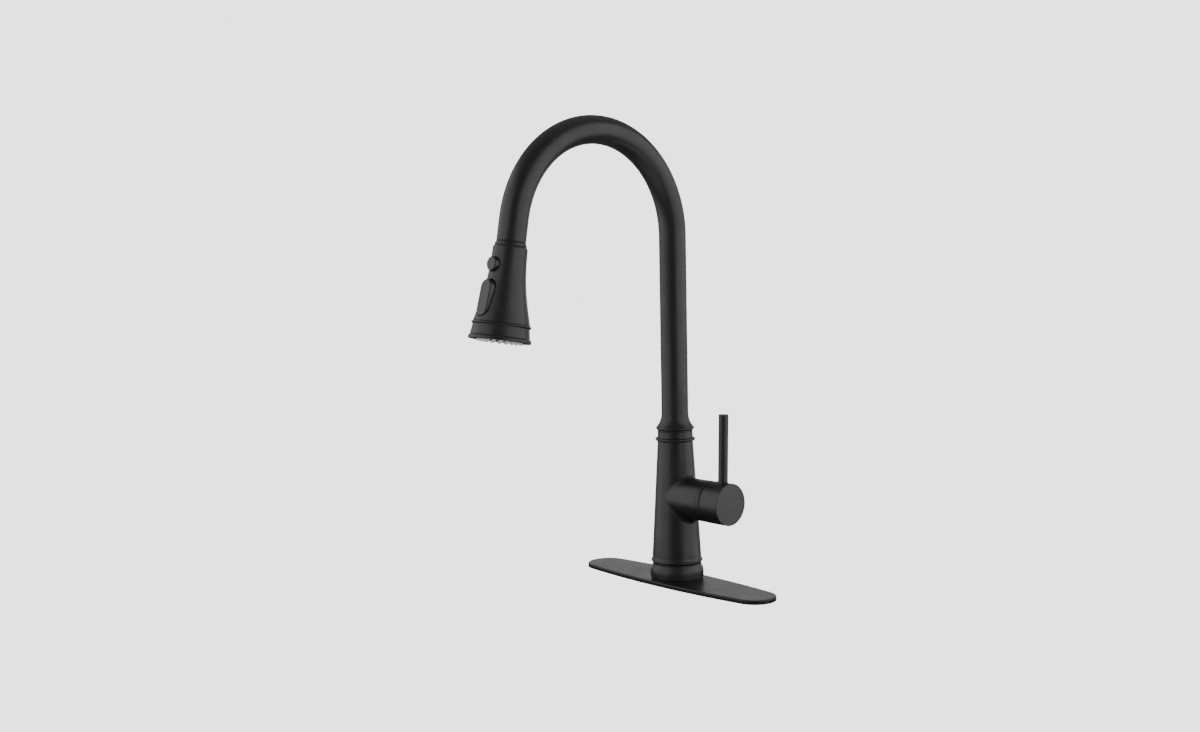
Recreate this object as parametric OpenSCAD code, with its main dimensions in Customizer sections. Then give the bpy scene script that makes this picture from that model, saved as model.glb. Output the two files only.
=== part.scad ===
// Single-handle pull-down kitchen faucet with a high arc spout on an oval deck plate.
// Frame: +Z up, X along the deck plate, the spout reaches towards -Y, the handle is on +X.
// The origin is on the deck surface, on the axis of the column.
// Sizes that follow from others are worked out below: the hose sets the channel, the sockets and
// the shank, the ports of the cartridge set the side port and the handle, and the tube sets the
// neck of the spray head.

/* [Deck plate] */
// Length of the deck plate along X
plate_length = 260; // [200:1:330]
// Width of the deck plate at its middle
plate_width = 58.4; // [48:0.2:80]
// Radius of the plate's round ends
plate_end_radius = 22.2; // [16:0.2:23.8]
// Height of the plate above the deck
plate_height = 4.4; // [3.6:0.1:8]
// Thickness of the plate's pressed sheet
plate_sheet = 1.2; // [0.8:0.1:1.6]
// Bevel along the plate's upper edge
plate_bevel = 0.7; // [0.3:0.1:1]
// Clearance of the deck hole round the threaded shank
shank_clearance = 1.5; // [0.5:0.1:2]

/* [Base] */
// Thickness of the rubber gasket between the base and the plate
gasket_height = 0.6; // [0.4:0.1:1.2]
// Height of the top of the base ring above the deck
base_top = 20.9; // [17:0.1:26]
// Overhang of the base ring beyond the foot of the body
base_overhang = 2.2; // [1.6:0.1:3]
// Wall of the body's spigot round the shank's socket
spigot_wall = 4.9; // [3.6:0.1:5.2]
// Depth of the threaded socket for the shank
shank_depth = 18; // [12:0.5:24]

/* [Body] */
// Height of the swivel seam, where the body ends and the spout begins
seam_height = 160; // [133:1:200]
// Length of the straight neck above the body's upper bead
neck_length = 6.2; // [4:0.1:10]
// Wall of the body round the swivel socket
body_wall = 3.2; // [2.2:0.1:4.4]
// Depth of the swivel socket
socket_depth = 30; // [25:1:36]

/* [Supply ports] */
// Radius of each supply port in the body
supply_radius = 3.5; // [2.9:0.1:4.2]
// Depth of the thread in each supply port
supply_depth = 12; // [8:0.5:16]
// Radius of the drilled ways from the supply ports to the cartridge
supply_way = 2.6; // [2.2:0.1:2.8]
// Angle between neighbouring supply ports
supply_angle = 62; // [52:1:75]

/* [Side port] */
// Depth of the handle's axis below the swivel seam
port_drop = 68.6; // [57:0.2:83]
// Wall of the side port round the cartridge
port_wall = 3.8; // [3:0.1:4.6]
// Radius of the soft blend between the side port and the column
blend_radius = 6; // [4:0.5:7.5]
// Extra radius of the column beyond the port's, at the port's height
column_margin = 0.67; // [0.4:0.01:2]

/* [Cartridge] */
// Radius of the circle on which the cartridge's inlets lie
port_ring = 10.2; // [8.5:0.1:12.3]
// Wall of the cartridge's housing
housing_wall = 4.35; // [3.6:0.05:5.2]
// Length of the cartridge's housing
housing_length = 26; // [22:0.5:32]
// Length of the nut that holds the cartridge
nut_length = 5.6; // [4.6:0.1:7]

/* [Handle] */
// Length of the bonnet's spigot in the side port
bonnet_spigot = 4.2; // [3:0.1:6]
// Length of the bonnet ring that shows between the port and the hub
bonnet_length = 5.1; // [4:0.1:7]
// Overhang of the hub beyond the bonnet
hub_overhang = 0.3; // [0.1:0.1:0.8]
// Metal between the lever's hole and the hub's outer face
hub_face_wall = 5.2; // [4.4:0.1:8]
// Gap between the bonnet's dome and the hub
dome_gap = 0.35; // [0.3:0.05:0.6]
// Largest tilt of the handle
flow_angle = 18; // [10:1:18]
// Diameter of the lever
lever_diameter = 10; // [8:0.1:12]
// Height of the lever's tip above the handle's axis
lever_reach = 90.9; // [70:1:120]
// Outward lean of the lever
lever_lean = 1.6; // [0:0.1:4]

/* [Gooseneck] */
// Outer radius of the spout tube
tube_radius = 14; // [11.6:0.1:16.8]
// Wall of the spout tube
tube_wall = 1.1; // [0.9:0.1:1.4]
// Radius of the arc at the tube's centre line
arc_radius = 104.4; // [85:0.1:126]
// Height of the arc's centre above the deck
arc_height = 362; // [300:1:436]
// Tilt of the outlet from the vertical, outwards
outlet_tilt = 10.3; // [0:0.1:20]
// Length of the straight run between the arc and the spray head
outlet_run = 22.6; // [20:0.1:30]
// Height of the collar above the swivel seam
collar_height = 17.8; // [15:0.2:26]
// Overhang of the collar's sharp bead beyond the top of the body
collar_overhang = 1.8; // [1.2:0.1:2.8]

/* [Pull-out hose] */
// Radius of the hose
hose_radius = 6.4; // [5.4:0.1:7.7]

/* [Spray head] */
// Radius of the shell at its foot
foot_radius = 26.9; // [22.5:0.1:32]
// Widening of the shell from the tube to its shoulder
shoulder_step = 2.55; // [2.2:0.05:3.2]
// Wall of the shell
shell_wall = 2.2; // [1.8:0.1:2.6]
// Overhang of the rim beyond the shell's foot
rim_overhang = 2.8; // [2.2:0.1:4]
// Height of the lower ring with its bead, band and rim
ring_height = 16.6; // [14:0.2:20]
// Number of nozzles in the outer row
outer_nozzles = 20; // [12:1:22]
// Number of nozzles in the inner row
inner_nozzles = 13; // [8:1:14]

/* [Buttons] */
// Radius of the round pause button
button_radius = 6.75; // [5.6:0.05:8.1]
// Distance from the head's joint to the button's axis
button_place = 23; // [20:0.2:28]
// Gap between the button and the rocker, along the head
button_gap = 8.35; // [6.9:0.05:12]
// Travel of the pause button
button_travel = 2; // [1:0.1:2.4]
// Space for the button's spring
spring_length = 4.6; // [4:0.1:6]
// Half width of the rocker
rocker_half_width = 7.6; // [6.4:0.1:9.1]
// Length of the rocker
rocker_length = 35; // [29:0.5:42]
// Distance from the rocker's lower end to the foot of the shell
rocker_margin = 3.3; // [2.8:0.1:6]
// Distance from the head's axis to the middle of the rocker's face
rocker_face = 24.8; // [24.2:0.1:26]
// Slope of the rocker's face from the head's axis
rocker_slope = 5.1; // [3:0.1:8]
// Angle through which the rocker toggles
rocker_angle = 12; // [6:1:14]

/* [Hidden] */
$fn = 72;
// Clearances
running = 0.05;
seat = 0.02;
panel_gap = 0.35;
cut_margin = 1;
// Steps along curves
arc_steps = 10;
flare_steps = 12;

// Hose, and the bores that it runs through
hose_bore = 4;
tail_radius = hose_radius + 1.2;
tail_spigot = 5.4;
tail_bore = 3;
tail_length = 15;
channel_radius = tail_radius + 0.4;
swivel_bore = channel_radius + 1.4;
swivel_spigot = swivel_bore + 3.9;
socket_radius = swivel_spigot + 1.9;
supply_offset = channel_radius + 0.6 + supply_radius;
shank_radius = supply_offset + supply_radius + 0.4;

// Deck plate
deck_hole_radius = shank_radius + shank_clearance;
half_length = plate_length / 2;
half_width = plate_width / 2;
end_centre = half_length - plate_end_radius;
side_radius = (pow(end_centre, 2) + pow(half_width, 2) - pow(plate_end_radius, 2))
    / (2 * (half_width - plate_end_radius));
underlay_height = plate_height - plate_sheet;
edge_foot = 0.2;
underlay_gap = 0.1;

// Cartridge, measured along X from the column's axis
port_height = seam_height - port_drop;
port_hole = 2.2;
port_angle = 57.4;
inlet_drop = port_ring * cos(port_angle);
inlet_spread = port_ring * sin(port_angle);
outlet_drop = port_ring - 1.2;
housing_bore = port_ring + port_hole + 0.65;
cartridge_radius = housing_bore + housing_wall;
cartridge_seat = channel_radius + 4.2;
housing_lip = 1.8;
housing_mouth = housing_bore - 2.4;
housing_end = cartridge_seat + housing_length;
housing_floor = 4.8;
disc_thick = 3;
disc_x = cartridge_seat + housing_floor;
moving_disc_x = disc_x + disc_thick + running;
moving_disc_radius = housing_bore - 3.65;
carrier_x = moving_disc_x + disc_thick + 0.2;
carrier_end = housing_end - housing_lip - running;
carrier_slot = 8;
carrier_slot_gap = 2.2;
seal_ring = cartridge_radius - 1.8;
seal_thick = 0.75;
nut_bore = cartridge_radius - 6;
nut_slot_place = cartridge_radius - 4.2;
nut_slot = [6, 2.4, 3];
nut_slot_depth = 2;
pin_radius = 1.5;
pin_half = housing_bore - 4.05;
pivot_x = carrier_end - 5.25;
stem_radius = 3.2;
stem_hub = 4.4;
stem_hub_half = 4;
ball_radius = 1.5;
ball_gap = 0.25;
ball_rise = 0.6;
arm_radius = 1.1;
arm_length = pivot_x - (moving_disc_x + ball_rise + ball_radius);

// Side port and handle
port_bore = cartridge_radius + running;
port_radius = cartridge_radius + port_wall;
port_end = housing_end + nut_length + bonnet_spigot;
hub_foot = port_end + bonnet_length;
dome_radius = sqrt(pow(hub_foot - pivot_x, 2) + pow(port_radius, 2));
dome_wall = 2.6;
dome_front = pivot_x + dome_radius + dome_gap;
dome_opening = dome_radius * sin(flow_angle + 7.4);
bonnet_bore = cartridge_radius - 2;
stem_seat = 8;
stem_end = dome_front + stem_seat;
hub_radius = port_radius + hub_overhang;
hub_bevel = 0.35;
lever_radius = lever_diameter / 2;
lever_x = dome_front + 0.3 + lever_radius;
hub_end = lever_x + lever_radius + hub_face_wall;
lever_foot = hub_radius - 12;
lever_spigot = lever_radius - 2;
lever_spigot_length = 4;
lever_edge = 0.5;
set_screw_radius = 2.5;
set_screw_length = 7;
set_screw_x = stem_end - 4;
hex_radius = 1.4;
hex_depth = 3;

// Base and body
base_foot = plate_height + gasket_height;
shank_top = base_foot + shank_depth;
spigot_radius = shank_radius + spigot_wall;
foot_bead_thick = 1.45;
foot_bead_height = base_top + 3.7;
taper_foot = foot_bead_height + 1.4;
upper_bead_thick = 1.75;
upper_bead_height = seam_height - neck_length - 2;
taper_top = upper_bead_height - 1.2;
body_top_radius = socket_radius + body_wall;
seam_radius = body_top_radius - 0.2;
upper_bead_radius = body_top_radius + 2.35;
taper_slope = (port_radius + column_margin - body_top_radius) / (taper_top - port_height);
taper_lean = atan(taper_slope);
body_foot_radius = body_top_radius + taper_slope * (taper_top - taper_foot);
groove_radius = body_foot_radius - 0.4;
foot_bead_radius = body_foot_radius + 1.3;
base_radius = body_foot_radius + base_overhang;

// Swivel
socket_floor = seam_height - socket_depth;
spigot_foot = socket_floor + 4;
bush_height = 4.5;
bush_foot = spigot_foot + 3.2;
groove_floor = swivel_spigot - 1.1;
groove_gap = 0.1;
o_ring_centre = (socket_radius + groove_floor) / 2;
o_ring_thick = (socket_radius - groove_floor) / 2 - 0.03;
o_ring_heights = [seam_height - 6.4, seam_height - 10.6];
clip_foot = spigot_foot + 0.7;
clip_thick = 1.2;
clip_groove = 1.3;
clip_bite = 0.7;
clip_angle = 300;

// Gooseneck
arc_turn = 180 - outlet_tilt;
outlet_y = -arc_radius * (1 + cos(outlet_tilt));
outlet_z = arc_height + arc_radius * sin(outlet_tilt);
tube_bore = tube_radius - tube_wall;
bend_thinning = 0.02;
collar_top = seam_height + collar_height;
collar_socket = 12;
tube_foot = collar_top - collar_socket;
collar_bead_radius = body_top_radius + collar_overhang;
hose_foot = shank_top + 12;

// Spray head, measured down its axis from the arc's end
joint_s = outlet_run;
shell_top_s = joint_s + 4;
rocker_place = button_place + button_radius + button_gap + rocker_length / 2;
shell_foot_s = joint_s + rocker_place + rocker_length / 2 + rocker_margin;
rim_s = shell_foot_s + ring_height;
neck_radius = tube_radius + 0.1;
neck_step_radius = tube_radius + 1.1;
neck_spigot = tube_bore - 2.5;
neck_spigot_length = 13;
neck_lap = 8;
neck_lap_radius = neck_spigot + 2;
guide_radius = tube_bore - seat;
guide_bore = neck_spigot + 0.08;
guide_length = 16;
nut_radius = neck_spigot - 1.9;
nut_way = 4.4;
nut_foot_s = joint_s + 2;
hose_end_s = joint_s - neck_spigot_length - 5;
washer_top_s = nut_foot_s + 0.2;
core_top_s = joint_s + 5.1;
shoulder_radius = tube_radius + shoulder_step;
shell_lid = 2.4;
shell_bulge = 0.362;
rim_radius = foot_radius + rim_overhang;
ring_bore = foot_radius - shell_wall - 0.6;
head_bead_thick = 1.1;
head_bead_radius = foot_radius + 1.2;
plate_recess = 1.2;
plate_low = plate_recess - rim_s;
spray_plate_radius = foot_radius - 1.3;
spray_plate_thick = 2.4;
mat_radius = foot_radius - 4.7;
mat_thick = 1.2;
mat_low = plate_low + spray_plate_thick + 0.1;
nozzle_radius = 1.4;
nozzle_tip_radius = 1;
nozzle_tip = 2.8;
nozzle_root = 0.6;
nozzle_bore = 0.5;
aerator_radius = 9;
aerator_proud = 0.6;
aerator_depth = 4.6;
slot_circle = 7;
slot_width = 1.1;
slot_pitch = 2;
outer_row = mat_radius - 1.8;
inner_row = (aerator_radius + outer_row) / 2 - 0.5;
core_radius = nut_radius + 0.7;
waterway = 3.6;
chamber_radius = ring_bore - 0.1;
chamber_top = -(shell_foot_s + 2);
chamber_roof = 9;

// Buttons
button_s = joint_s + button_place;
button_stem = 2;
button_body = 3.4;
boss_radius = 4.2;
boss_top = core_radius + 1.6;
button_foot = boss_top + spring_length;
button_face = button_foot + button_travel + button_body;
plunger_socket = 2.4;
plunger_foot = 0.6;
rocker_s = joint_s + rocker_place;
rocker_thick = 8;
rocker_edge = 0.5;
rocker_pin_h = rocker_face - 7.2;
rocker_pin_radius = 1.2;
rocker_boss_radius = 2.8;
rocker_pin_half = rocker_half_width + 1.8;
ear_place = rocker_half_width + 0.5;
ear_thick = 1.6;
ear_height = 5.2;
ear_depth = 4.1;
rocker_proud = rocker_face - rocker_pin_h - 2.5;
rocker_sweep = rocker_length / 2 * (cos(rocker_angle) - 1) + rocker_proud * sin(rocker_angle);

// Points of an arc about a centre, from one angle to another
function arc_points(centre, radius, from, to, steps) = [
    for (i = [0:steps])
        let (a = from + (to - from) * i / steps)
        centre + radius * [cos(a), sin(a)]
];

// Point of a cubic curve with four control points
function curve_point(p, t) =
    pow(1 - t, 3) * p[0] + 3 * pow(1 - t, 2) * t * p[1] + 3 * (1 - t) * t * t * p[2] + t * t * t * p[3];

function curve_points(p, steps) = [for (i = [0:steps]) curve_point(p, i / steps)];

// Radius of the body's taper at a height
function taper_radius(z) = body_top_radius + taper_slope * (taper_top - z);

// Outline of the deck plate, drawn in by an inset: two bowed sides and two round ends
function plate_outline(inset) =
    let (
        end_r = plate_end_radius - inset,
        side_r = side_radius - inset,
        side_y = half_width - side_radius,
        turn = atan2(end_centre, -side_y)
    )
    concat(
        arc_points([0, side_y], side_r, 90 - turn, 90 + turn, 2 * arc_steps),
        arc_points([-end_centre, 0], end_r, 90 + turn, 270 - turn, 2 * arc_steps),
        arc_points([0, -side_y], side_r, 270 - turn, 270 + turn, 2 * arc_steps),
        arc_points([end_centre, 0], end_r, 270 + turn, 450 - turn, 2 * arc_steps)
    );

// Ring of rectangular section
module ring(outer, inner, low, high) {
    translate([0, 0, low])
        difference() {
            cylinder(r = outer, h = high - low);
            translate([0, 0, -cut_margin])
                cylinder(r = inner, h = high - low + 2 * cut_margin);
        }
}

// Ring of round section
module torus(radius, thick, height) {
    translate([0, 0, height])
        rotate_extrude()
            translate([radius, 0])
                circle(r = thick, $fn = 24);
}

module bore(radius, low, high) {
    translate([0, 0, low])
        cylinder(r = radius, h = high - low);
}

// Frame of the handle: local +Z is the port's axis, outwards along +X
module at_port() {
    translate([0, 0, port_height])
        rotate([0, 90, 0])
            children();
}

// Frame of the outlet: local +Z points back up the outlet, local -Y is the front
module at_outlet() {
    translate([0, outlet_y, outlet_z])
        rotate([-outlet_tilt, 0, 0])
            children();
}

// A ring in the outlet's frame, measured down the axis
module outlet_ring(outer, inner, from, to) {
    ring(outer, inner, -to, -from);
}

// Unbroken tube of round section that follows a list of points
module swept_tube(path, radius, sides) {
    last = len(path) - 1;
    rings = [
        for (i = [0:last])
            let (
                ahead = path[min(i + 1, last)],
                behind = path[max(i - 1, 0)],
                along = (ahead - behind) / norm(ahead - behind),
                side = cross([0, 0, 1], along) / norm(cross([0, 0, 1], along)),
                lift = cross(along, side)
            )
            for (k = [0:sides - 1])
                path[i] + radius * (cos(360 * k / sides) * side + sin(360 * k / sides) * lift)
    ];
    skin = [
        for (i = [0:last - 1])
            for (k = [0:sides - 1])
                let (n = (k + 1) % sides)
                each [
                    [i * sides + k, (i + 1) * sides + k, i * sides + n],
                    [i * sides + n, (i + 1) * sides + k, (i + 1) * sides + n]
                ]
    ];
    foot = [for (k = [0:sides - 1]) k];
    head = [for (k = [sides - 1:-1:0]) last * sides + k];
    polyhedron(points = rings, faces = concat(skin, [foot, head]));
}

// Pipe up the column, round the arc and down the outlet. Its arc's wall is thinner by a hair on
// each side, so that the straight runs meet it on plain faces.
module gooseneck(outer, inner, foot, run) {
    half_box = arc_radius + outer + cut_margin;
    ring(outer, inner, foot, arc_height);
    translate([0, -arc_radius, arc_height])
        rotate([90, 0, 90]) {
            difference() {
                rotate_extrude($fn = 144)
                    translate([arc_radius, 0])
                        difference() {
                            circle(r = outer - bend_thinning);
                            circle(r = inner + bend_thinning);
                        }
                translate([-half_box, -half_box, -half_box])
                    cube([2 * half_box, half_box, 2 * half_box]);
                rotate(arc_turn)
                    translate([-half_box, 0, -half_box])
                        cube([2 * half_box, half_box, 2 * half_box]);
            }
            rotate(arc_turn)
                translate([arc_radius, 0, 0])
                    rotate([-90, 0, 0])
                        ring(outer, inner, 0, run);
        }
}

// ---- Deck plate ----

module deck_plate() {
    color([0.16, 0.16, 0.16])
        difference() {
            hull() {
                translate([0, 0, edge_foot])
                    linear_extrude(plate_height - plate_bevel - edge_foot)
                        polygon(plate_outline(0));
                linear_extrude(plate_height)
                    polygon(plate_outline(plate_bevel));
            }
            translate([0, 0, -cut_margin])
                linear_extrude(underlay_height + cut_margin)
                    polygon(plate_outline(plate_sheet));
            bore(deck_hole_radius, -cut_margin, plate_height + cut_margin);
        }
}

module deck_plate_underlay() {
    color([0.1, 0.1, 0.1])
        difference() {
            linear_extrude(underlay_height - running)
                polygon(plate_outline(plate_sheet + underlay_gap));
            bore(deck_hole_radius, -cut_margin, plate_height);
        }
}

// ---- Base and body ----

module base_gasket() {
    color([0.06, 0.06, 0.06])
        ring(base_radius - 1, deck_hole_radius + 0.4, plate_height, base_foot);
}

module base_ring() {
    rise = base_top - base_foot;
    color([0.13, 0.13, 0.13])
        rotate_extrude()
            polygon(concat(
                [[spigot_radius + seat, base_foot], [base_radius - 0.8, base_foot]],
                [[base_radius - 0.2, base_foot + 0.14 * rise], [base_radius, base_foot + 0.24 * rise]],
                curve_points([
                    [base_radius, base_foot + 0.4 * rise],
                    [base_radius, base_foot + 0.78 * rise],
                    [groove_radius + 0.7, base_top - 0.22 * rise],
                    [groove_radius, base_top - 0.3]
                ], arc_steps),
                [[groove_radius, base_top], [spigot_radius + seat, base_top]]
            ));
}

// Closed strip that rounds the corner between the side port and the column
module port_blend() {
    steps = 48;
    across = 5;
    sink = 0.08;
    deep = 1.5;
    offset_r = blend_radius - sink;
    function ball_place(a) =
        let (
            y = (port_radius + offset_r) * cos(a),
            z = port_height + (port_radius + offset_r) * sin(a),
            r = taper_radius(z) + offset_r / cos(taper_lean)
        )
        [sqrt(r * r - y * y), y, z];
    function to_port(a) = [0, -cos(a), -sin(a)];
    function to_column(p) =
        -[cos(taper_lean) * p[0], cos(taper_lean) * p[1], sin(taper_lean) * norm([p[0], p[1]])]
            / norm([p[0], p[1]]);
    function between(u, v, t) =
        let (w = acos(u * v))
        (sin((1 - t) * w) * u + sin(t * w) * v) / sin(w);
    rows = [
        for (i = [0:steps - 1])
            let (
                a = 360 * i / steps,
                ball = ball_place(a),
                u = to_port(a),
                v = to_column(ball),
                half = acos(u * v) / 2
            )
            each concat(
                [for (k = [0:across]) ball + blend_radius * between(u, v, k / across)],
                [ball + (blend_radius / cos(half) + deep) * between(u, v, 0.5)]
            )
    ];
    count = across + 2;
    faces = [
        for (i = [0:steps - 1])
            for (k = [0:count - 1])
                let (
                    j = (i + 1) % steps,
                    n = (k + 1) % count
                )
                each [
                    [i * count + k, j * count + k, i * count + n],
                    [i * count + n, j * count + k, j * count + n]
                ]
    ];
    polyhedron(points = rows, faces = faces);
}

// A threaded port in the floor of the shank's socket, and the way drilled up from it
module supply_port(top) {
    translate([supply_offset, 0, 0]) {
        bore(supply_radius, shank_top - cut_margin, shank_top + supply_depth);
        bore(supply_way, shank_top, top);
    }
}

// Three ports for the hoses, and the holes from them to the cartridge's seat
module supply_ports() {
    way_x = supply_offset * cos(supply_angle);
    way_y = supply_offset * sin(supply_angle);
    across = [cartridge_seat - way_x, inlet_spread - way_y];
    supply_port(port_height - outlet_drop + port_hole);
    for (side = [-1, 1]) {
        rotate(side * supply_angle)
            supply_port(port_height - inlet_drop + port_hole);
        translate([way_x, side * way_y, port_height - inlet_drop])
            rotate([0, 90, side * atan2(across[1], across[0])])
                bore(port_hole, 0, norm(across) + cut_margin);
    }
}

module faucet_body() {
    color([0.13, 0.13, 0.13])
        difference() {
            union() {
                rotate_extrude()
                    polygon([
                        [0, base_foot],
                        [spigot_radius, base_foot],
                        [spigot_radius, base_top + running],
                        [groove_radius, base_top + running],
                        [groove_radius, foot_bead_height],
                        [body_foot_radius, taper_foot],
                        [body_top_radius, taper_top],
                        [body_top_radius, upper_bead_height + 2],
                        [seam_radius, seam_height],
                        [0, seam_height]
                    ]);
                torus(foot_bead_radius - foot_bead_thick, foot_bead_thick, foot_bead_height);
                torus(upper_bead_radius - upper_bead_thick, upper_bead_thick, upper_bead_height);
                at_port()
                    bore(port_radius, 0, port_end);
                port_blend();
            }
            bore(shank_radius, base_foot - cut_margin, shank_top);
            bore(channel_radius, shank_top - cut_margin, seam_height);
            bore(socket_radius, socket_floor, seam_height + cut_margin);
            bore(socket_radius + clip_bite, clip_foot, clip_foot + clip_groove);
            at_port()
                bore(port_bore, cartridge_seat, port_end + cut_margin);
            supply_ports();
        }
}

// ---- Cartridge ----

// Places of the two inlets and the outlet in the cartridge's foot
function port_hole_places() = [
    [inlet_drop, inlet_spread],
    [inlet_drop, -inlet_spread],
    [outlet_drop, 0]
];

module port_holes(low, high) {
    for (p = port_hole_places())
        translate([p[0], p[1], 0])
            bore(port_hole, low, high);
}

module cartridge_housing() {
    color([0.85, 0.85, 0.82])
        at_port()
            difference() {
                bore(cartridge_radius, cartridge_seat + running, housing_end);
                bore(housing_bore, disc_x, housing_end - housing_lip);
                bore(housing_mouth, disc_x, housing_end + cut_margin);
                port_holes(cartridge_seat, disc_x + cut_margin);
                ring(
                    seal_ring + seal_thick + running, seal_ring - seal_thick - running,
                    cartridge_seat - cut_margin, cartridge_seat + 2 * seal_thick
                );
            }
}

module cartridge_seals() {
    color([0.05, 0.05, 0.05])
        at_port()
            torus(seal_ring, seal_thick, cartridge_seat + seal_thick);
}

module ceramic_disc_fixed() {
    color([0.93, 0.92, 0.88])
        at_port()
            difference() {
                bore(housing_bore - running, disc_x, disc_x + disc_thick);
                port_holes(disc_x - cut_margin, disc_x + disc_thick + cut_margin);
            }
}

module ceramic_disc_moving() {
    color([0.96, 0.95, 0.92])
        at_port()
            difference() {
                bore(moving_disc_radius, moving_disc_x, moving_disc_x + disc_thick);
                translate([0, 0, moving_disc_x + ball_rise - 0.1])
                    bore(ball_radius + ball_gap, 0, disc_thick);
            }
}

// Frame of the tilt axis: local +Z along the pin
module at_pin() {
    translate([pivot_x, 0, port_height])
        rotate([90, 0, 0])
            children();
}

module cartridge_carrier() {
    slot = 2 * stem_radius + carrier_slot_gap;
    color([0.2, 0.35, 0.6])
        difference() {
            at_port()
                bore(housing_bore - running, carrier_x, carrier_end);
            translate([carrier_x - cut_margin, -slot / 2, port_height - carrier_slot])
                cube([carrier_end - carrier_x + 2 * cut_margin, slot, 2 * carrier_slot]);
            at_pin()
                bore(pin_radius + seat, -pin_half, pin_half);
        }
}

module cartridge_pin() {
    color([0.7, 0.7, 0.72])
        at_pin()
            bore(pin_radius, running - pin_half, pin_half - running);
}

module cartridge_stem() {
    color([0.72, 0.6, 0.3])
        difference() {
            union() {
                at_pin()
                    bore(stem_hub, -stem_hub_half, stem_hub_half);
                at_port() {
                    bore(stem_radius, pivot_x, stem_end);
                    bore(arm_radius, pivot_x - arm_length, pivot_x);
                    translate([0, 0, pivot_x - arm_length])
                        rotate([90, 0, 0])
                            sphere(r = ball_radius);
                }
            }
            at_pin()
                bore(pin_radius + running, -stem_hub_half - cut_margin, stem_hub_half + cut_margin);
        }
}

module cartridge_nut() {
    color([0.75, 0.62, 0.3])
        at_port()
            difference() {
                ring(port_bore - running, nut_bore, housing_end, housing_end + nut_length);
                for (a = [0:60:300])
                    rotate(a)
                        translate([
                            nut_slot_place, -nut_slot[1] / 2, housing_end + nut_length - nut_slot_depth
                        ])
                            cube(nut_slot);
            }
}

// ---- Handle ----

module bonnet() {
    spigot_foot_x = housing_end + nut_length;
    color([0.13, 0.13, 0.13])
        at_port()
            difference() {
                intersection() {
                    union() {
                        bore(port_bore - running, spigot_foot_x, port_end + cut_margin);
                        bore(port_radius, port_end + running, hub_end);
                    }
                    translate([0, 0, pivot_x])
                        sphere(r = dome_radius);
                }
                intersection() {
                    bore(bonnet_bore, spigot_foot_x - cut_margin, hub_end);
                    translate([0, 0, pivot_x])
                        sphere(r = dome_radius - dome_wall);
                }
                bore(dome_opening, pivot_x, hub_end);
            }
}

// Frame of the lever: local +Z along the lever, from the handle's axis
module at_lever() {
    translate([lever_x - hub_radius * tan(lever_lean), 0, port_height])
        rotate([0, lever_lean, 0])
            children();
}

module handle_hub() {
    color([0.13, 0.13, 0.13])
        difference() {
            at_port()
                difference() {
                    rotate_extrude()
                        polygon([
                            [0, pivot_x + 1],
                            [hub_radius, pivot_x + 1],
                            [hub_radius, hub_end - hub_bevel],
                            [hub_radius - hub_bevel, hub_end],
                            [0, hub_end]
                        ]);
                    translate([0, 0, pivot_x])
                        sphere(r = dome_radius + dome_gap);
                    bore(stem_radius + seat, pivot_x, stem_end + 0.2);
                }
            at_lever() {
                bore(lever_radius + seat, lever_foot, hub_radius + lever_radius);
                bore(lever_spigot + seat, lever_foot - lever_spigot_length, hub_radius);
            }
            translate([set_screw_x, 0, port_height])
                rotate([180, 0, 0])
                    bore(set_screw_radius, 0, hub_radius + cut_margin);
        }
}

module handle_lever() {
    color([0.13, 0.13, 0.13])
        at_lever() {
            bore(lever_spigot, lever_foot - lever_spigot_length + 0.2, lever_foot + cut_margin);
            rotate_extrude()
                polygon([
                    [0, lever_foot],
                    [lever_radius, lever_foot],
                    [lever_radius, lever_reach - lever_edge],
                    [lever_radius - lever_edge, lever_reach],
                    [0, lever_reach]
                ]);
        }
}

module handle_set_screw() {
    color([0.1, 0.1, 0.1])
        translate([set_screw_x, 0, port_height])
            rotate([180, 0, 0])
                difference() {
                    bore(set_screw_radius - seat, stem_radius + seat, stem_radius + set_screw_length);
                    translate([0, 0, stem_radius + set_screw_length - hex_depth])
                        cylinder(r = hex_radius, h = hex_depth + cut_margin, $fn = 6);
                }
}

// ---- Spout ----

module spout_collar() {
    bead_z = seam_height + 3.7;
    flare_height = collar_height - 4.1;
    flare_depth = collar_bead_radius - tube_radius - 0.1;
    flare_radius = (pow(flare_depth, 2) + pow(flare_height, 2)) / (2 * flare_depth);
    flare_turn = asin(flare_height / flare_radius);
    foot_z = seam_height + running;
    color([0.13, 0.13, 0.13])
        difference() {
            rotate_extrude()
                polygon(concat(
                    [
                        [swivel_bore, spigot_foot],
                        [swivel_spigot, spigot_foot],
                        [swivel_spigot, foot_z],
                        [seam_radius, foot_z],
                        [body_top_radius, seam_height + 1.4],
                        [body_top_radius + 0.9, seam_height + 2.1],
                        [collar_bead_radius, seam_height + 3.1]
                    ],
                    arc_points(
                        [tube_radius + 0.1 + flare_radius, seam_height + collar_height - 0.3],
                        flare_radius, 180 + flare_turn, 180, flare_steps
                    ),
                    [[tube_radius + seat, collar_top], [swivel_bore, collar_top]]
                ));
            bore(tube_radius + seat, tube_foot, collar_top + cut_margin);
            for (z = o_ring_heights)
                translate([0, 0, z])
                    ring(
                        swivel_spigot + cut_margin, groove_floor,
                        -o_ring_thick - groove_gap, o_ring_thick + groove_gap
                    );
            ring(swivel_spigot + cut_margin, groove_floor, clip_foot, clip_foot + clip_groove);
        }
}

module spout_tube() {
    color([0.13, 0.13, 0.13])
        gooseneck(tube_radius, tube_bore, tube_foot + running, outlet_run - running);
}

module swivel_bushes() {
    color([0.88, 0.88, 0.84]) {
        for (foot = [bush_foot, seam_height - running - bush_height])
            ring(socket_radius - running, swivel_spigot + running, foot, foot + bush_height);
    }
}

module swivel_o_rings() {
    color([0.05, 0.05, 0.05])
        for (z = o_ring_heights)
            torus(o_ring_centre, o_ring_thick, z);
}

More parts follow.
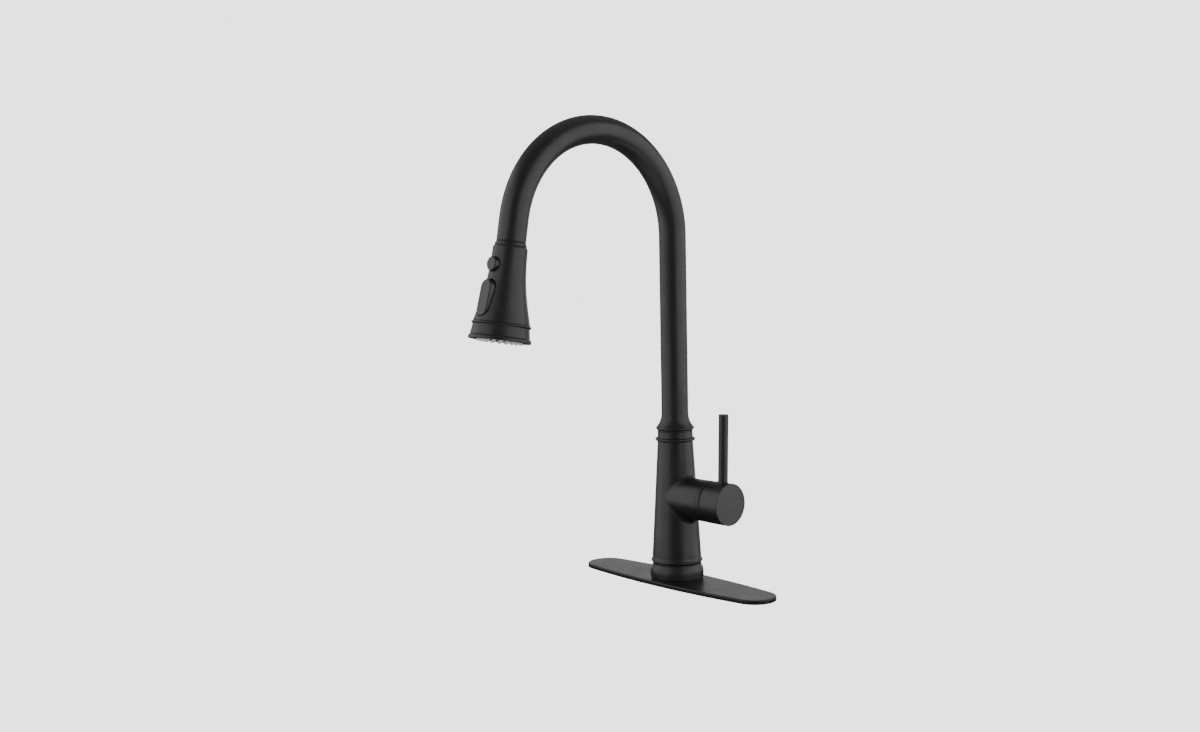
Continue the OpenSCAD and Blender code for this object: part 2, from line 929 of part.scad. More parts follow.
module spout_clip() {
    color([0.7, 0.7, 0.72])
        rotate(90)
            translate([0, 0, clip_foot + running])
                rotate_extrude(angle = clip_angle)
                    translate([groove_floor + running, 0])
                        square([socket_radius + clip_bite - groove_floor - 0.15, clip_thick]);
}

module outlet_guide() {
    color([0.2, 0.2, 0.2])
        at_outlet()
            outlet_ring(guide_radius, guide_bore, outlet_run - guide_length, outlet_run - 0.6);
}

// ---- Pull-out hose ----

module pull_out_hose() {
    color([0.45, 0.45, 0.45])
        gooseneck(hose_radius, hose_bore, hose_foot, hose_end_s);
}

module hose_tail_fitting() {
    shoulder = hose_foot - tail_length + 5.2;
    color([0.75, 0.62, 0.3])
        difference() {
            union() {
                bore(tail_radius, shoulder, hose_foot);
                bore(tail_spigot, shank_top + 0.6, shoulder + cut_margin);
            }
            bore(tail_bore, shank_top, hose_foot + cut_margin);
        }
}

module hose_end_nut() {
    color([0.75, 0.62, 0.3])
        at_outlet()
            outlet_ring(nut_radius, nut_way, hose_end_s + 0.1, nut_foot_s);
}

// ---- Spray head ----

// Outline of the head's shell, as [radius, height] with the height down the axis below zero
function shell_curve(inset) = curve_points([
    [shoulder_radius - inset, -(shell_top_s + 3)],
    [shoulder_radius + 0.35 - inset, -(shell_top_s + 33)],
    [shoulder_radius + shell_bulge * (foot_radius - shoulder_radius) - inset, -(shell_foot_s - 26)],
    [foot_radius - inset, -shell_foot_s]
], flare_steps);

module head_neck() {
    color([0.13, 0.13, 0.13])
        at_outlet()
            rotate_extrude()
                polygon([
                    [nut_radius + running, -(joint_s - neck_spigot_length)],
                    [neck_spigot, -(joint_s - neck_spigot_length)],
                    [neck_spigot, -joint_s],
                    [neck_radius - 0.2, -joint_s],
                    [neck_radius + 0.5, -(joint_s + 0.9)],
                    [neck_step_radius, -(joint_s + 3)],
                    [neck_step_radius, -(shell_top_s - running)],
                    [neck_lap_radius, -(shell_top_s - running)],
                    [neck_lap_radius, -(shell_top_s + neck_lap)],
                    [nut_radius + running, -(shell_top_s + neck_lap)]
                ]);
}

// Frame of the head's front at a place down its axis: local +Z outwards, local +Y up the head
module along_front(s) {
    translate([0, 0, -s])
        rotate([90, 0, 0])
            children();
}

// Frame of the rocker: local +Z out of its face, local +Y up the head
module at_rocker() {
    along_front(rocker_s)
        translate([0, 0, rocker_pin_h])
            rotate([-rocker_slope, 0, 0])
                translate([0, 0, -rocker_pin_h])
                    children();
}

// Frame of the rocker's pin: local +Z along the pin
module at_rocker_pin() {
    translate([0, -rocker_pin_h, -rocker_s])
        rotate([0, 90, 0])
            children();
}

// Stadium outline of the rocker, with its long axis up the head
module rocker_outline(grow, grow_top) {
    reach = rocker_length / 2 - rocker_half_width;
    radius = rocker_half_width + grow;
    translate([0, reach + grow_top])
        circle(r = radius);
    translate([0, -reach])
        circle(r = radius);
    translate([-radius, -reach])
        square([2 * radius, 2 * reach + grow_top]);
}

// Half section of the shell as a solid, for what must end inside its wall
module shell_envelope(inset) {
    rotate_extrude()
        polygon(concat(
            [[0, -shell_top_s]],
            shell_curve(inset),
            [[0, -shell_foot_s]]
        ));
}

// Two ears inside the shell that hold the rocker's pin
module rocker_ears() {
    intersection() {
        shell_envelope(shell_wall / 2);
        for (side = [0, 1])
            mirror([side, 0, 0])
                translate([ear_place, -foot_radius, -(rocker_s + ear_height / 2)])
                    cube([ear_thick, foot_radius - rocker_pin_h + ear_depth, ear_height]);
    }
}

module head_shell() {
    lid_bore = neck_lap_radius + running;
    color([0.13, 0.13, 0.13])
        at_outlet()
            difference() {
                union() {
                    rotate_extrude()
                        polygon(concat(
                            [[lid_bore, -shell_top_s], [neck_step_radius + 0.1, -shell_top_s]],
                            shell_curve(0),
                            [[foot_radius - shell_wall, -shell_foot_s]],
                            [for (i = [flare_steps - 1:-1:0]) shell_curve(shell_wall)[i]],
                            [[shoulder_radius - shell_wall, -(shell_top_s + shell_lid)]],
                            [[lid_bore, -(shell_top_s + shell_lid)]]
                        ));
                    rocker_ears();
                }
                along_front(button_s)
                    bore(button_radius + panel_gap, 0, 2 * foot_radius);
                at_rocker()
                    linear_extrude(2 * foot_radius)
                        rocker_outline(panel_gap, rocker_sweep);
                at_rocker_pin()
                    bore(rocker_pin_radius + seat, -rocker_pin_half, rocker_pin_half);
            }
}

module head_ring() {
    foot = -rim_s;
    top = -shell_foot_s;
    plate_top = plate_low + spray_plate_thick;
    color([0.13, 0.13, 0.13])
        at_outlet() {
            rotate_extrude()
                polygon([
                    [ring_bore, top - running],
                    [foot_radius - 0.1, top - running],
                    [foot_radius - 0.1, top - 3.1],
                    [foot_radius + 0.4, top - 5],
                    [foot_radius + 1.3, foot + 4.2],
                    [rim_radius - 0.8, foot + 3.6],
                    [rim_radius, foot + 2.4],
                    [rim_radius, foot + 0.9],
                    [rim_radius - 0.8, foot],
                    [spray_plate_radius + seat, foot],
                    [spray_plate_radius + seat, plate_top],
                    [ring_bore, plate_top + 1]
                ]);
            torus(head_bead_radius - head_bead_thick, head_bead_thick, top - running - head_bead_thick);
        }
}

module head_core() {
    plate_top = plate_low + spray_plate_thick + running;
    roof = chamber_top + chamber_roof;
    color([0.75, 0.75, 0.72])
        at_outlet()
            difference() {
                union() {
                    bore(core_radius, roof - cut_margin, -(shell_top_s + neck_lap + 0.1));
                    bore(nut_radius - 0.1, roof, -core_top_s);
                    rotate_extrude()
                        polygon([
                            [0, plate_top],
                            [chamber_radius, plate_top],
                            [chamber_radius, chamber_top + 1],
                            [core_radius, roof],
                            [0, roof]
                        ]);
                    along_front(button_s)
                        bore(boss_radius, 0, boss_top);
                }
                bore(waterway, plate_top - cut_margin, -joint_s);
                bore(mat_radius + 0.4, plate_top - cut_margin, plate_top + 4);
                along_front(button_s)
                    bore(button_stem + running, 0, 2 * boss_top);
            }
}

module hose_washer() {
    color([0.05, 0.05, 0.05])
        at_outlet()
            outlet_ring(nut_radius - 0.1, waterway, washer_top_s, core_top_s - 0.1);
}

module core_seal() {
    top = shell_top_s + neck_lap + 0.2;
    color([0.05, 0.05, 0.05])
        at_outlet()
            outlet_ring(neck_lap_radius - 0.1, core_radius + running, top, top + 1.6);
}

module spray_plate() {
    color([0.1, 0.1, 0.1])
        at_outlet()
            difference() {
                bore(spray_plate_radius, plate_low, plate_low + spray_plate_thick);
                bore(aerator_radius + running, plate_low - cut_margin, mat_low);
                nozzle_rows()
                    bore(nozzle_radius + running, plate_low - cut_margin, mat_low);
            }
}

// Two rings of evenly spaced places for the nozzles
module nozzle_rows() {
    for (row = [[outer_row, outer_nozzles], [inner_row, inner_nozzles]])
        for (i = [0:row[1] - 1])
            rotate(360 * i / row[1])
                translate([row[0], 0, 0])
                    children();
}

module spray_nozzles() {
    color([0.72, 0.72, 0.72])
        at_outlet() {
            ring(mat_radius, aerator_radius + 0.6, mat_low, mat_low + mat_thick);
            nozzle_rows()
                difference() {
                    union() {
                        bore(nozzle_radius, plate_low + nozzle_root, mat_low + mat_thick / 2);
                        translate([0, 0, plate_low - nozzle_tip])
                            cylinder(
                                r1 = nozzle_tip_radius, r2 = nozzle_radius,
                                h = nozzle_tip + nozzle_root, $fn = 24
                            );
                    }
                    bore(nozzle_bore, plate_low - nozzle_tip - cut_margin, mat_low + 3);
                }
        }
}

module aerator() {
    reach = slot_circle - cut_margin;
    color([0.55, 0.55, 0.55])
        at_outlet()
            translate([0, 0, plate_low])
                difference() {
                    bore(aerator_radius, -aerator_proud, aerator_depth);
                    for (y = [-reach:slot_pitch:reach])
                        translate([-sqrt(slot_circle * slot_circle - y * y), y - slot_width / 2, -2])
                            cube([2 * sqrt(slot_circle * slot_circle - y * y), slot_width, 3.4]);
                }
}

// ---- Buttons ----

module pause_button() {
    color([0.13, 0.13, 0.13])
        at_outlet()
            along_front(button_s)
                difference() {
                    rotate_extrude()
                        polygon([
                            [0, button_foot],
                            [button_radius, button_foot],
                            [button_radius, button_face - 0.8],
                            [button_radius - 0.35, button_face - 0.2],
                            [button_radius - 1, button_face],
                            [0, button_face]
                        ]);
                    bore(button_stem + seat, button_foot - cut_margin, button_foot + plunger_socket);
                }
}

module pause_plunger() {
    color([0.75, 0.75, 0.72])
        at_outlet()
            along_front(button_s) {
                bore(button_stem, plunger_foot, button_foot + plunger_socket - running);
                bore(button_stem + 0.7, plunger_foot, plunger_foot + 1.3);
            }
}

module button_spring() {
    turns = 3;
    steps = 16;
    wire = 0.25;
    coil = 3.1;
    low = boss_top + wire;
    high = button_foot - wire - running;
    color([0.7, 0.7, 0.72])
        at_outlet()
            along_front(button_s)
                swept_tube([
                    for (i = [0:turns * steps])
                        [
                            coil * cos(360 * i / steps),
                            coil * sin(360 * i / steps),
                            low + (high - low) * i / (turns * steps)
                        ]
                ], wire, 6);
}

module rocker() {
    inner = rocker_face - rocker_thick;
    color([0.15, 0.15, 0.15])
        at_outlet()
            difference() {
                at_rocker() {
                    translate([0, 0, inner])
                        linear_extrude(rocker_thick - rocker_edge)
                            rocker_outline(0, 0);
                    translate([0, 0, inner + cut_margin])
                        linear_extrude(rocker_thick - cut_margin)
                            rocker_outline(-0.4, 0);
                    translate([0, 0, rocker_pin_h])
                        rotate([0, 90, 0])
                            bore(rocker_boss_radius, 0.4 - rocker_half_width, rocker_half_width - 0.4);
                }
                at_rocker_pin()
                    bore(rocker_pin_radius + running, -rocker_pin_half, rocker_pin_half);
            }
}

module rocker_pin() {
    color([0.7, 0.7, 0.72])
        at_outlet()
            at_rocker_pin()
                bore(rocker_pin_radius, running - rocker_pin_half, rocker_pin_half - running);
}

deck_plate();
deck_plate_underlay();
base_gasket();
base_ring();
faucet_body();
cartridge_housing();
cartridge_seals();
ceramic_disc_fixed();
ceramic_disc_moving();
cartridge_carrier();
cartridge_pin();
cartridge_stem();
cartridge_nut();
bonnet();
handle_hub();
handle_lever();
handle_set_screw();
spout_collar();
spout_tube();
swivel_bushes();
swivel_o_rings();
spout_clip();
outlet_guide();
pull_out_hose();
hose_tail_fitting();
hose_end_nut();
head_neck();
head_shell();
head_ring();
head_core();
hose_washer();
core_seal();
spray_plate();
spray_nozzles();
aerator();
pause_button();
pause_plunger();
button_spring();
rocker();
rocker_pin();
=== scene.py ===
# %% [markdown]
# # A pull-down kitchen faucet, surface by surface
#
# The faucet is turned and bent metal: a column with a side port, an arc of tube, and a flared
# spray head. It has a matte black powder coat, so nearly all that the eye sees is how a soft light
# runs along a curve, and a facet or a hard crease would show at once. So each visible piece is
# worked out as a fine surface, from the same sizes as the construction model, in place of that
# model's flat triangles.

import bmesh
import bpy
import numpy as np
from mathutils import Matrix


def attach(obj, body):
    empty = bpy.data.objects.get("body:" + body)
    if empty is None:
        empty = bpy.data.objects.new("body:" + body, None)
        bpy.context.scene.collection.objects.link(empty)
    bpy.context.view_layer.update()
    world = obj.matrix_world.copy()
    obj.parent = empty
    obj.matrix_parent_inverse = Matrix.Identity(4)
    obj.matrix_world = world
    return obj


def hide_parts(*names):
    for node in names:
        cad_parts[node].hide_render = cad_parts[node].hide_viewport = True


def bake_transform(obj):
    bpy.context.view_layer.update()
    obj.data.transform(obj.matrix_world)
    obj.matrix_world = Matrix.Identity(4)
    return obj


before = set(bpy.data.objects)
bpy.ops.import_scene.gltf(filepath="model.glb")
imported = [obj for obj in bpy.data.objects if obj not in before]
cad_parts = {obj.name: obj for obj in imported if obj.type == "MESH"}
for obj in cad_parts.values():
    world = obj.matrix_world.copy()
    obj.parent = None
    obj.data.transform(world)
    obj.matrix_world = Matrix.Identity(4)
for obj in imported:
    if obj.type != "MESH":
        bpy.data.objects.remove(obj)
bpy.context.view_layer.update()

# %% [markdown]
# ## Places to work in
#
# Blender works in metres. The sizes here are in millimetres and are scaled once, when a mesh is
# made. Most pieces are round about the axis of the column, the side port, the outlet or the
# lever. The column's axis is the third coordinate already. For each other axis, a small function
# takes points from a frame in which that axis is the third coordinate to the faucet's own frame.
# The faces of two pieces that meet keep the same small gap everywhere.

# %% Local frames
MM = 0.001

OUTLET_TILT = np.radians(10.3)
ARC_RADIUS = 104.4
ARC_HEIGHT = 362.0
PORT_HEIGHT = 91.4
PIVOT_X = 31.1
HUB_RADIUS = 21.5
LEVER_X = 67.3
LEVER_LEAN = np.radians(1.6)
FACE_GAP = 0.06


def unit(vectors):
    """The same directions at length one."""
    return vectors / np.linalg.norm(vectors, axis=-1, keepdims=True)


def frame_at(origin, x, y, z):
    """A function that takes points (a, b, c) to origin + a x + b y + c z."""
    axes = np.array([x, y, z], float)
    return lambda points: np.asarray(origin, float) + np.asarray(points, float) @ axes


RIGHT = np.array([1.0, 0.0, 0.0])
DOWN_OUTLET = np.array([0.0, -np.sin(OUTLET_TILT), -np.cos(OUTLET_TILT)])
OUTLET_FRONT = np.array([0.0, -np.cos(OUTLET_TILT), np.sin(OUTLET_TILT)])
ARC_END = np.array([0.0, -ARC_RADIUS, ARC_HEIGHT]) + ARC_RADIUS * OUTLET_FRONT

at_port = frame_at((0, 0, PORT_HEIGHT), (0, 0, -1), (0, 1, 0), (1, 0, 0))
at_outlet = frame_at(ARC_END, RIGHT, OUTLET_FRONT, DOWN_OUTLET)
at_lever = frame_at(
    (LEVER_X - HUB_RADIUS * np.tan(LEVER_LEAN), 0, PORT_HEIGHT),
    (np.cos(LEVER_LEAN), 0, -np.sin(LEVER_LEAN)),
    (0, 1, 0),
    (np.sin(LEVER_LEAN), 0, np.cos(LEVER_LEAN)),
)
print("outlet starts at", np.round(ARC_END, 2), "mm")

# %% [markdown]
# ## The camera
#
# The faucet is seen from its right front and a little from above, with a slightly long lens that
# keeps upright lines nearly parallel. The camera's three axes are worked out from its direction
# and a small roll, then written straight into its matrix.

# %% Camera
def place_at(thing, x, y, z, spot):
    """Links an object to the scene, with three axes and a spot in metres as its matrix."""
    matrix = np.eye(4)
    matrix[:3] = np.column_stack([x, y, z, spot])
    thing.matrix_world = matrix.T.tolist()
    bpy.context.scene.collection.objects.link(thing)


LOOK_AT = np.array([-48.387, -60.0, 229.456])
AZIMUTH, ELEVATION, ROLL = np.radians([48.2271, 4.9200, -1.0858])
DISTANCE = 1463.68

level, plumb = np.array([[np.cos(AZIMUTH), np.sin(AZIMUTH), 0.0], [0.0, 0.0, 1.0]])
back = np.cos(ELEVATION) * np.cross(level, plumb) + np.sin(ELEVATION) * plumb
above = np.cross(back, level)
across = level * np.cos(ROLL) + above * np.sin(ROLL)
upward = -level * np.sin(ROLL) + above * np.cos(ROLL)
eye = (LOOK_AT + DISTANCE * back) * MM

camera = bpy.data.objects.new("camera", bpy.data.cameras.new("camera"))
camera.data.sensor_width = 36.0
camera.data.lens = 42.44
camera.data.clip_end = 60.0
place_at(camera, across, upward, back, eye)
bpy.context.scene.camera = camera
print("camera at", np.round(eye, 3), "m")

# %% [markdown]
# ## Outlines
#
# A turned piece starts as the outline of its section. No edge from a lathe is quite sharp, and
# under a coat still less: each corner is a small arc, which catches the light as a thin line. The
# helper below rounds each corner by its own radius. A row without a radius is a point of a curve
# and stays as it is.

# %% Rounded outlines and smooth curves
ARC_STEPS, SUPPORT = 5, 0.25
AROUND, SMALL_AROUND = 160, 64  # steps round a turned piece


def rounded(corners, steps=ARC_STEPS):
    """A closed outline from rows (a, b, radius) or (a, b). An arc's ends lie radius / tan(half
    angle) from its corner, and its spokes turn evenly from one to the other. One more point on
    each side keeps the flats flat."""
    corners = np.array([(*corner, 0.0)[:3] for corner in corners], float)
    spots, radii = corners[:, :2], corners[:, 2]
    back_way, on_way = np.roll(spots, 1, 0) - spots, np.roll(spots, -1, 0) - spots
    back_len, on_len = np.linalg.norm(back_way, axis=1), np.linalg.norm(on_way, axis=1)
    back_way, on_way = back_way / back_len[:, None], on_way / on_len[:, None]
    half = np.arccos(np.clip((back_way * on_way).sum(1), -1, 1)) / 2
    t = np.linspace(0, 1, steps + 1)[:, None]
    runs = []
    corners = zip(spots, radii, back_way, on_way, back_len, on_len, half)
    for spot, radius, u, v, back_side, on_side, h in corners:
        turn = np.pi - 2 * h
        if radius == 0 or turn < 1e-3:
            runs.append(spot[None])
            continue
        reach = radius / np.tan(h)
        middle = spot + unit(u + v) * radius / np.sin(h)
        first, last = spot + u * reach - middle, spot + v * reach - middle
        bend = middle + (np.sin((1 - t) * turn) * first + np.sin(t * turn) * last) / np.sin(turn)
        hold_u, hold_v = np.clip([(back_side - reach) / 4, (on_side - reach) / 4], 0.01, SUPPORT)
        runs.append(np.vstack([bend[:1] + u * hold_u, bend, bend[-1:] + v * hold_v]))
    return np.vstack(runs)


def bezier(a, b, c, d, steps):
    """Points of a cubic curve: the four control points weighted by (1-t)^3, 3(1-t)^2 t, ..."""
    t = np.linspace(0, 1, steps + 1)[:, None]
    a, b, c, d = np.array([a, b, c, d], float)
    return (1 - t) ** 3 * a + 3 * (1 - t) ** 2 * t * b + 3 * (1 - t) * t**2 * c + t**3 * d


def arc(centre, radius, start, end, steps):
    """Points of a circle: centre + radius (cos a, sin a), with the angle in degrees."""
    a = np.radians(np.linspace(start, end, steps + 1))
    return np.asarray(centre, float) + radius * np.stack([np.cos(a), np.sin(a)], 1)


def with_end(rows, value):
    """Each row with one more number at its end, the same for all."""
    return np.column_stack([rows, np.full(len(rows), value)])


def stretches(ends, counts):
    """Stops that share out each stretch between one end and the next evenly."""
    runs = [np.linspace(a, b, count + 1)[1:] for a, b, count in zip(ends, ends[1:], counts)]
    return np.concatenate([ends[:1], *runs])


# %% [markdown]
# ## Surfaces
#
# A surface here is a grid of points: one row for each point of an outline, one column for each
# step round the axis. The faces are made from the grid's own numbering, all at once. Where an
# outline ends near the axis, its last row closes on a single point.

# %% Grids of points and their faces
def turns(count):
    """Angles that share out a full turn evenly."""
    return np.linspace(0, 2 * np.pi, count, endpoint=False)


def revolve(outline, around=AROUND):
    """The outline (radius, height) carried round the axis: (r cos a, r sin a, h), as rows."""
    radius, height = np.asarray(outline, float).T
    a = turns(around)
    x, y = np.outer(radius, np.cos(a)), np.outer(radius, np.sin(a))
    return np.stack([x, y, np.broadcast_to(height[:, None], x.shape)], -1)


def strip(lower, upper):
    """Four-sided faces between two closed rows of point numbers."""
    return np.stack([lower, np.roll(lower, -1), np.roll(upper, -1), upper], -1)


def strips(rows, closed):
    """Faces between each row of point numbers and the next, and back to the first if closed."""
    last = np.roll(rows, -1, 0) if closed else rows[1:]
    first = rows if closed else rows[:-1]
    return np.concatenate([strip(a, b) for a, b in zip(first, last)])


def numbered(rows, start=0):
    """The points' numbers, in rows as the points are."""
    return start + np.arange(rows.shape[0] * rows.shape[1]).reshape(rows.shape[:2])


def fan_to(middle, row):
    """Three-sided faces between a closed row of point numbers and one middle point."""
    return np.stack([row, np.roll(row, -1), np.full(len(row), middle)], -1).tolist()


def ring_shell(points):
    """A closed ring-shaped shell from rows of points, as (points, faces)."""
    return points.reshape(-1, 3), strips(numbered(points), True).tolist()


def capped_shell(points):
    """A closed shell from rows of points whose first and last rows close on their middles."""
    rows = numbered(points)
    faces = strips(rows, False).tolist()
    faces += fan_to(rows.size, rows[0]) + fan_to(rows.size + 1, rows[-1])
    return np.vstack([points.reshape(-1, 3), points[0].mean(0), points[-1].mean(0)]), faces


def joined(shells):
    """Several like shells as one: each one's point numbers are moved past those before it."""
    points, faces, count = [], [], 0
    for some_points, some_faces in shells:
        points.append(some_points)
        faces += (np.array(some_faces) + count).tolist()
        count += len(some_points)
    return np.vstack(points), faces


# %% [markdown]
# ## From a shell to a piece
#
# Each piece is told the body that it moves with and gets its finish, and the construction node
# that it stands in for is hidden. All its faces are turned outwards, and the volume that the mesh
# encloses is printed with the number of open edges: a hole or an inside-out shell would give a
# wrong number.

# %% Make a piece
def mesh_object(name, points, faces, material):
    """A mesh object with its finish, linked to the scene. The points are in metres."""
    mesh = bpy.data.meshes.new(name)
    mesh.from_pydata(points, [], faces)
    mesh.materials.append(material)
    thing = bpy.data.objects.new(name, mesh)
    bpy.context.scene.collection.objects.link(thing)
    return thing


def make_piece(name, shell, material, body, node):
    """A piece from a shell in millimetres, with its finish and body; the node it stands in for is
    hidden.
    """
    points, faces = shell
    piece = mesh_object(name, (np.asarray(points) * MM).tolist(), faces, material)
    mesh = piece.data
    work = bmesh.new()
    work.from_mesh(mesh)
    bmesh.ops.recalc_face_normals(work, faces=work.faces)
    volume = work.calc_volume(signed=True) * 1e6
    loose = sum(not edge.is_manifold for edge in work.edges)
    work.to_mesh(mesh)
    work.free()
    mesh.shade_smooth()
    if body:
        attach(piece, body)
    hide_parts(node)
    print(f"{name}: {len(faces)} faces, {volume:.2f} cm3, {loose} open edges")
    return piece


# %% [markdown]
# ## Finishes
#
# A powder coat is baked on as a fine dust, and ends as a skin with a grain of a few tenths of a
# millimetre, like very fine orange peel. Its gloss is low and not quite even. So the roughness and
# the shade wander a little over centimetres, and a fine noise gives the bump. The same recipe
# with other numbers makes the moulded plastics, the silicone and the metals.

# %% Materials and their nodes
def new_material(name):
    """A material with nodes, and its shader."""
    material = bpy.data.materials.new(name)
    material.use_nodes = True
    return material, material.node_tree.nodes["Principled BSDF"]


def set_inputs(node, inputs):
    """Each input of the node gets a value, or a link if it is given another node's socket."""
    for key, value in inputs.items():
        if isinstance(value, bpy.types.NodeSocket):
            node.id_data.links.new(value, node.inputs[key])
        else:
            node.inputs[key].default_value = value


def add_node(tree, kind, inputs, output, **settings):
    """A new node with its settings and inputs. Returns the named output."""
    node = tree.nodes.new("ShaderNode" + kind)
    for key, value in settings.items():
        setattr(node, key, value)
    set_inputs(node, inputs)
    return node.outputs[output]


def mixed(tree, share, first, second):
    """A colour between two, (red, green, blue), as the share goes from 0 to 1."""
    inputs = {"Factor": share, "A": (*first, 1.0), "B": (*second, 1.0)}
    return add_node(tree, "Mix", inputs, "Result", data_type="RGBA")


def bumps(tree, height, depth):
    """Normals that lean as if the height, from 0 to 1, stood out by the depth in mm."""
    return add_node(tree, "Bump", {"Distance": depth * MM, "Height": height}, "Normal")


# %% A recipe for coated, moulded and turned surfaces
def finish(name, colour, roughness, metallic=0.0, grain=0.3, bump=0.01, wander=0.05, drift=0.1):
    """A shader with the grain's size and depth in mm, and two slow noises: one moves the roughness
    by wander, the other the colour by the share drift."""
    material, shader = new_material(name)
    tree = material.node_tree
    place = add_node(tree, "TexCoord", {}, "Object")

    def noise(scale, detail):
        inputs = {"Scale": scale, "Detail": detail, "Vector": place}
        return add_node(tree, "TexNoise", inputs, "Fac")

    def remap(value, low, high):
        ends = {"From Min": 0.3, "From Max": 0.7, "To Min": low, "To Max": high}
        return add_node(tree, "MapRange", {"Value": value, **ends}, "Result")

    darker, lighter = [[c * share for c in colour] for share in (1 - drift, 1 + drift)]
    set_inputs(shader, {
        "Metallic": metallic,
        "Roughness": remap(noise(45.0, 3.0), roughness - wander, roughness + wander),
        "Base Color": mixed(tree, remap(noise(70.0, 4.0), 0.0, 1.0), darker, lighter),
        "Normal": bumps(tree, noise(1000.0 / grain, 2.0), bump),
    })
    return material


COAT_COLOUR = (0.0115, 0.0115, 0.0118)
powder_black = finish("powder_coat_black", COAT_COLOUR, 0.40, grain=0.5, bump=0.006)
plate_black = finish("powder_coat_plate", COAT_COLOUR, 0.36, grain=0.6, bump=0.006,
                     wander=0.02, drift=0.04)
head_black = finish("coated_plastic_black", COAT_COLOUR, 0.40, grain=0.4, bump=0.005)
button_grey = finish("button_plastic_grey", (0.02, 0.02, 0.0205), 0.3, bump=0.004)
plain_black = finish("moulded_plastic_black", (0.012, 0.012, 0.012), 0.5)
white_plastic = finish("acetal_white", (0.72, 0.71, 0.67), 0.4)
blue_plastic = finish("moulded_plastic_blue", (0.03, 0.09, 0.3), 0.42)
silicone = finish("silicone_grey", (0.9, 0.9, 0.9), 0.55, grain=0.2, bump=0.004)
rubber = finish("rubber_black", (0.015, 0.015, 0.015), 0.65, bump=0.015)
ceramic = finish("ceramic_lapped", (0.85, 0.84, 0.8), 0.18, grain=0.1, bump=0.002)
steel = finish("steel_plain", (0.55, 0.55, 0.56), 0.28, metallic=1.0, grain=0.2, bump=0.004)
brass = finish("brass_turned", (0.72, 0.5, 0.2), 0.3, metallic=1.0, grain=0.2, bump=0.004)
print("finishes:", len(bpy.data.materials))

# %% [markdown]
# ## The deck plate
#
# The plate is pressed from sheet: two long sides that bow out a little, and two round ends that
# they run into without a corner. Both are arcs, so the outline drawn in by any amount is the same
# arcs with smaller radii. The plate is that outline carried through a small section: over the flat
# top from the hole, round the edge and back underneath, one sheet thick.

# %% Deck plate
PLATE_HALF, PLATE_SIDE, PLATE_END = 130.0, 29.2, 22.2
PLATE_HEIGHT, PLATE_SHEET, DECK_HOLE = 4.4, 1.2, 17.5
END_X = PLATE_HALF - PLATE_END
SIDE_RADIUS = (END_X**2 + PLATE_SIDE**2 - PLATE_END**2) / (2 * (PLATE_SIDE - PLATE_END))
END_TURN = np.degrees(np.arctan2(END_X, SIDE_RADIUS - PLATE_SIDE))


def plate_outline(inset, steps=40):
    """A side arc and an end arc about fixed centres, each with its radius less the inset, and the
    same two turned half round."""
    side, end, sink = SIDE_RADIUS - inset, PLATE_END - inset, PLATE_SIDE - SIDE_RADIUS
    half = np.vstack([
        arc((0, sink), side, 90 - END_TURN, 90 + END_TURN, steps)[:-1],
        arc((-END_X, 0), end, 90 + END_TURN, 270 - END_TURN, steps)[:-1],
    ])
    return np.vstack([half, -half])


def plate_rows(section):
    """Rows (share, inset, height): share 1 is the outline with its inset, share 0 is the hole."""
    rows = []
    for share, inset, height in section:
        edge = plate_outline(inset)
        flat = share * edge + (1 - share) * DECK_HOLE * unit(edge)
        rows.append(with_end(flat, height))
    return np.array(rows)


edge_section = rounded([
    (6.0, PLATE_HEIGHT), (0.0, PLATE_HEIGHT, 1.1), (0.0, 0.0, 0.3), (PLATE_SHEET, 0.0, 0.3),
    (PLATE_SHEET, PLATE_HEIGHT - PLATE_SHEET, 0.6), (6.0, PLATE_HEIGHT - PLATE_SHEET),
])
plate_section = (
    [(s, 6.0, PLATE_HEIGHT) for s in (0.0, 0.01, 0.1, 0.3, 0.6)]
    + [(1.0, inset, height) for inset, height in edge_section]
    + [(s, 6.0, PLATE_HEIGHT - PLATE_SHEET) for s in (0.6, 0.3, 0.0)]
)
make_piece("deck_plate_shell", ring_shell(plate_rows(plate_section)), plate_black,
           "base", "deck_plate")

# %% [markdown]
# ## The base ring
#
# The column's foot sits in a turned ring: nearly straight at the bottom, with a hint of a line
# where the straight part ends, then a soft shoulder up to a groove under the first bead.

# %% Base ring
BASE_FOOT, BASE_TOP, SPIGOT_RADIUS = 5.0, 20.9, 20.92
ring_side = bezier((27.9, 11.2), (27.95, 17.0), (26.3, 17.9), (25.35, 20.45), 14)
base_outline = rounded([
    (SPIGOT_RADIUS, BASE_FOOT, 0.2), (27.05, BASE_FOOT, 0.25), (27.75, 7.4, 0.8), *ring_side,
    (25.3, BASE_TOP, 0.12), (SPIGOT_RADIUS, BASE_TOP, 0.1),
])
make_piece("base_ring_turned", ring_shell(revolve(base_outline)), powder_black,
           "base", "base_ring")

# %% [markdown]
# ## The column and its side port
#
# The column is a cone with a bead at each end, and the handle's port grows out of its side through
# a soft fillet. A boolean would leave a ragged edge there, but the fillet has an exact form: roll
# a ball along the corner so that it touches both bodies. The two lines along which it touches are
# the fillet's edges, and the ball's own surface between them is the fillet. The cone is then a
# grid with a window cut in it, and rows on the cone lead from the window's frame to the fillet.

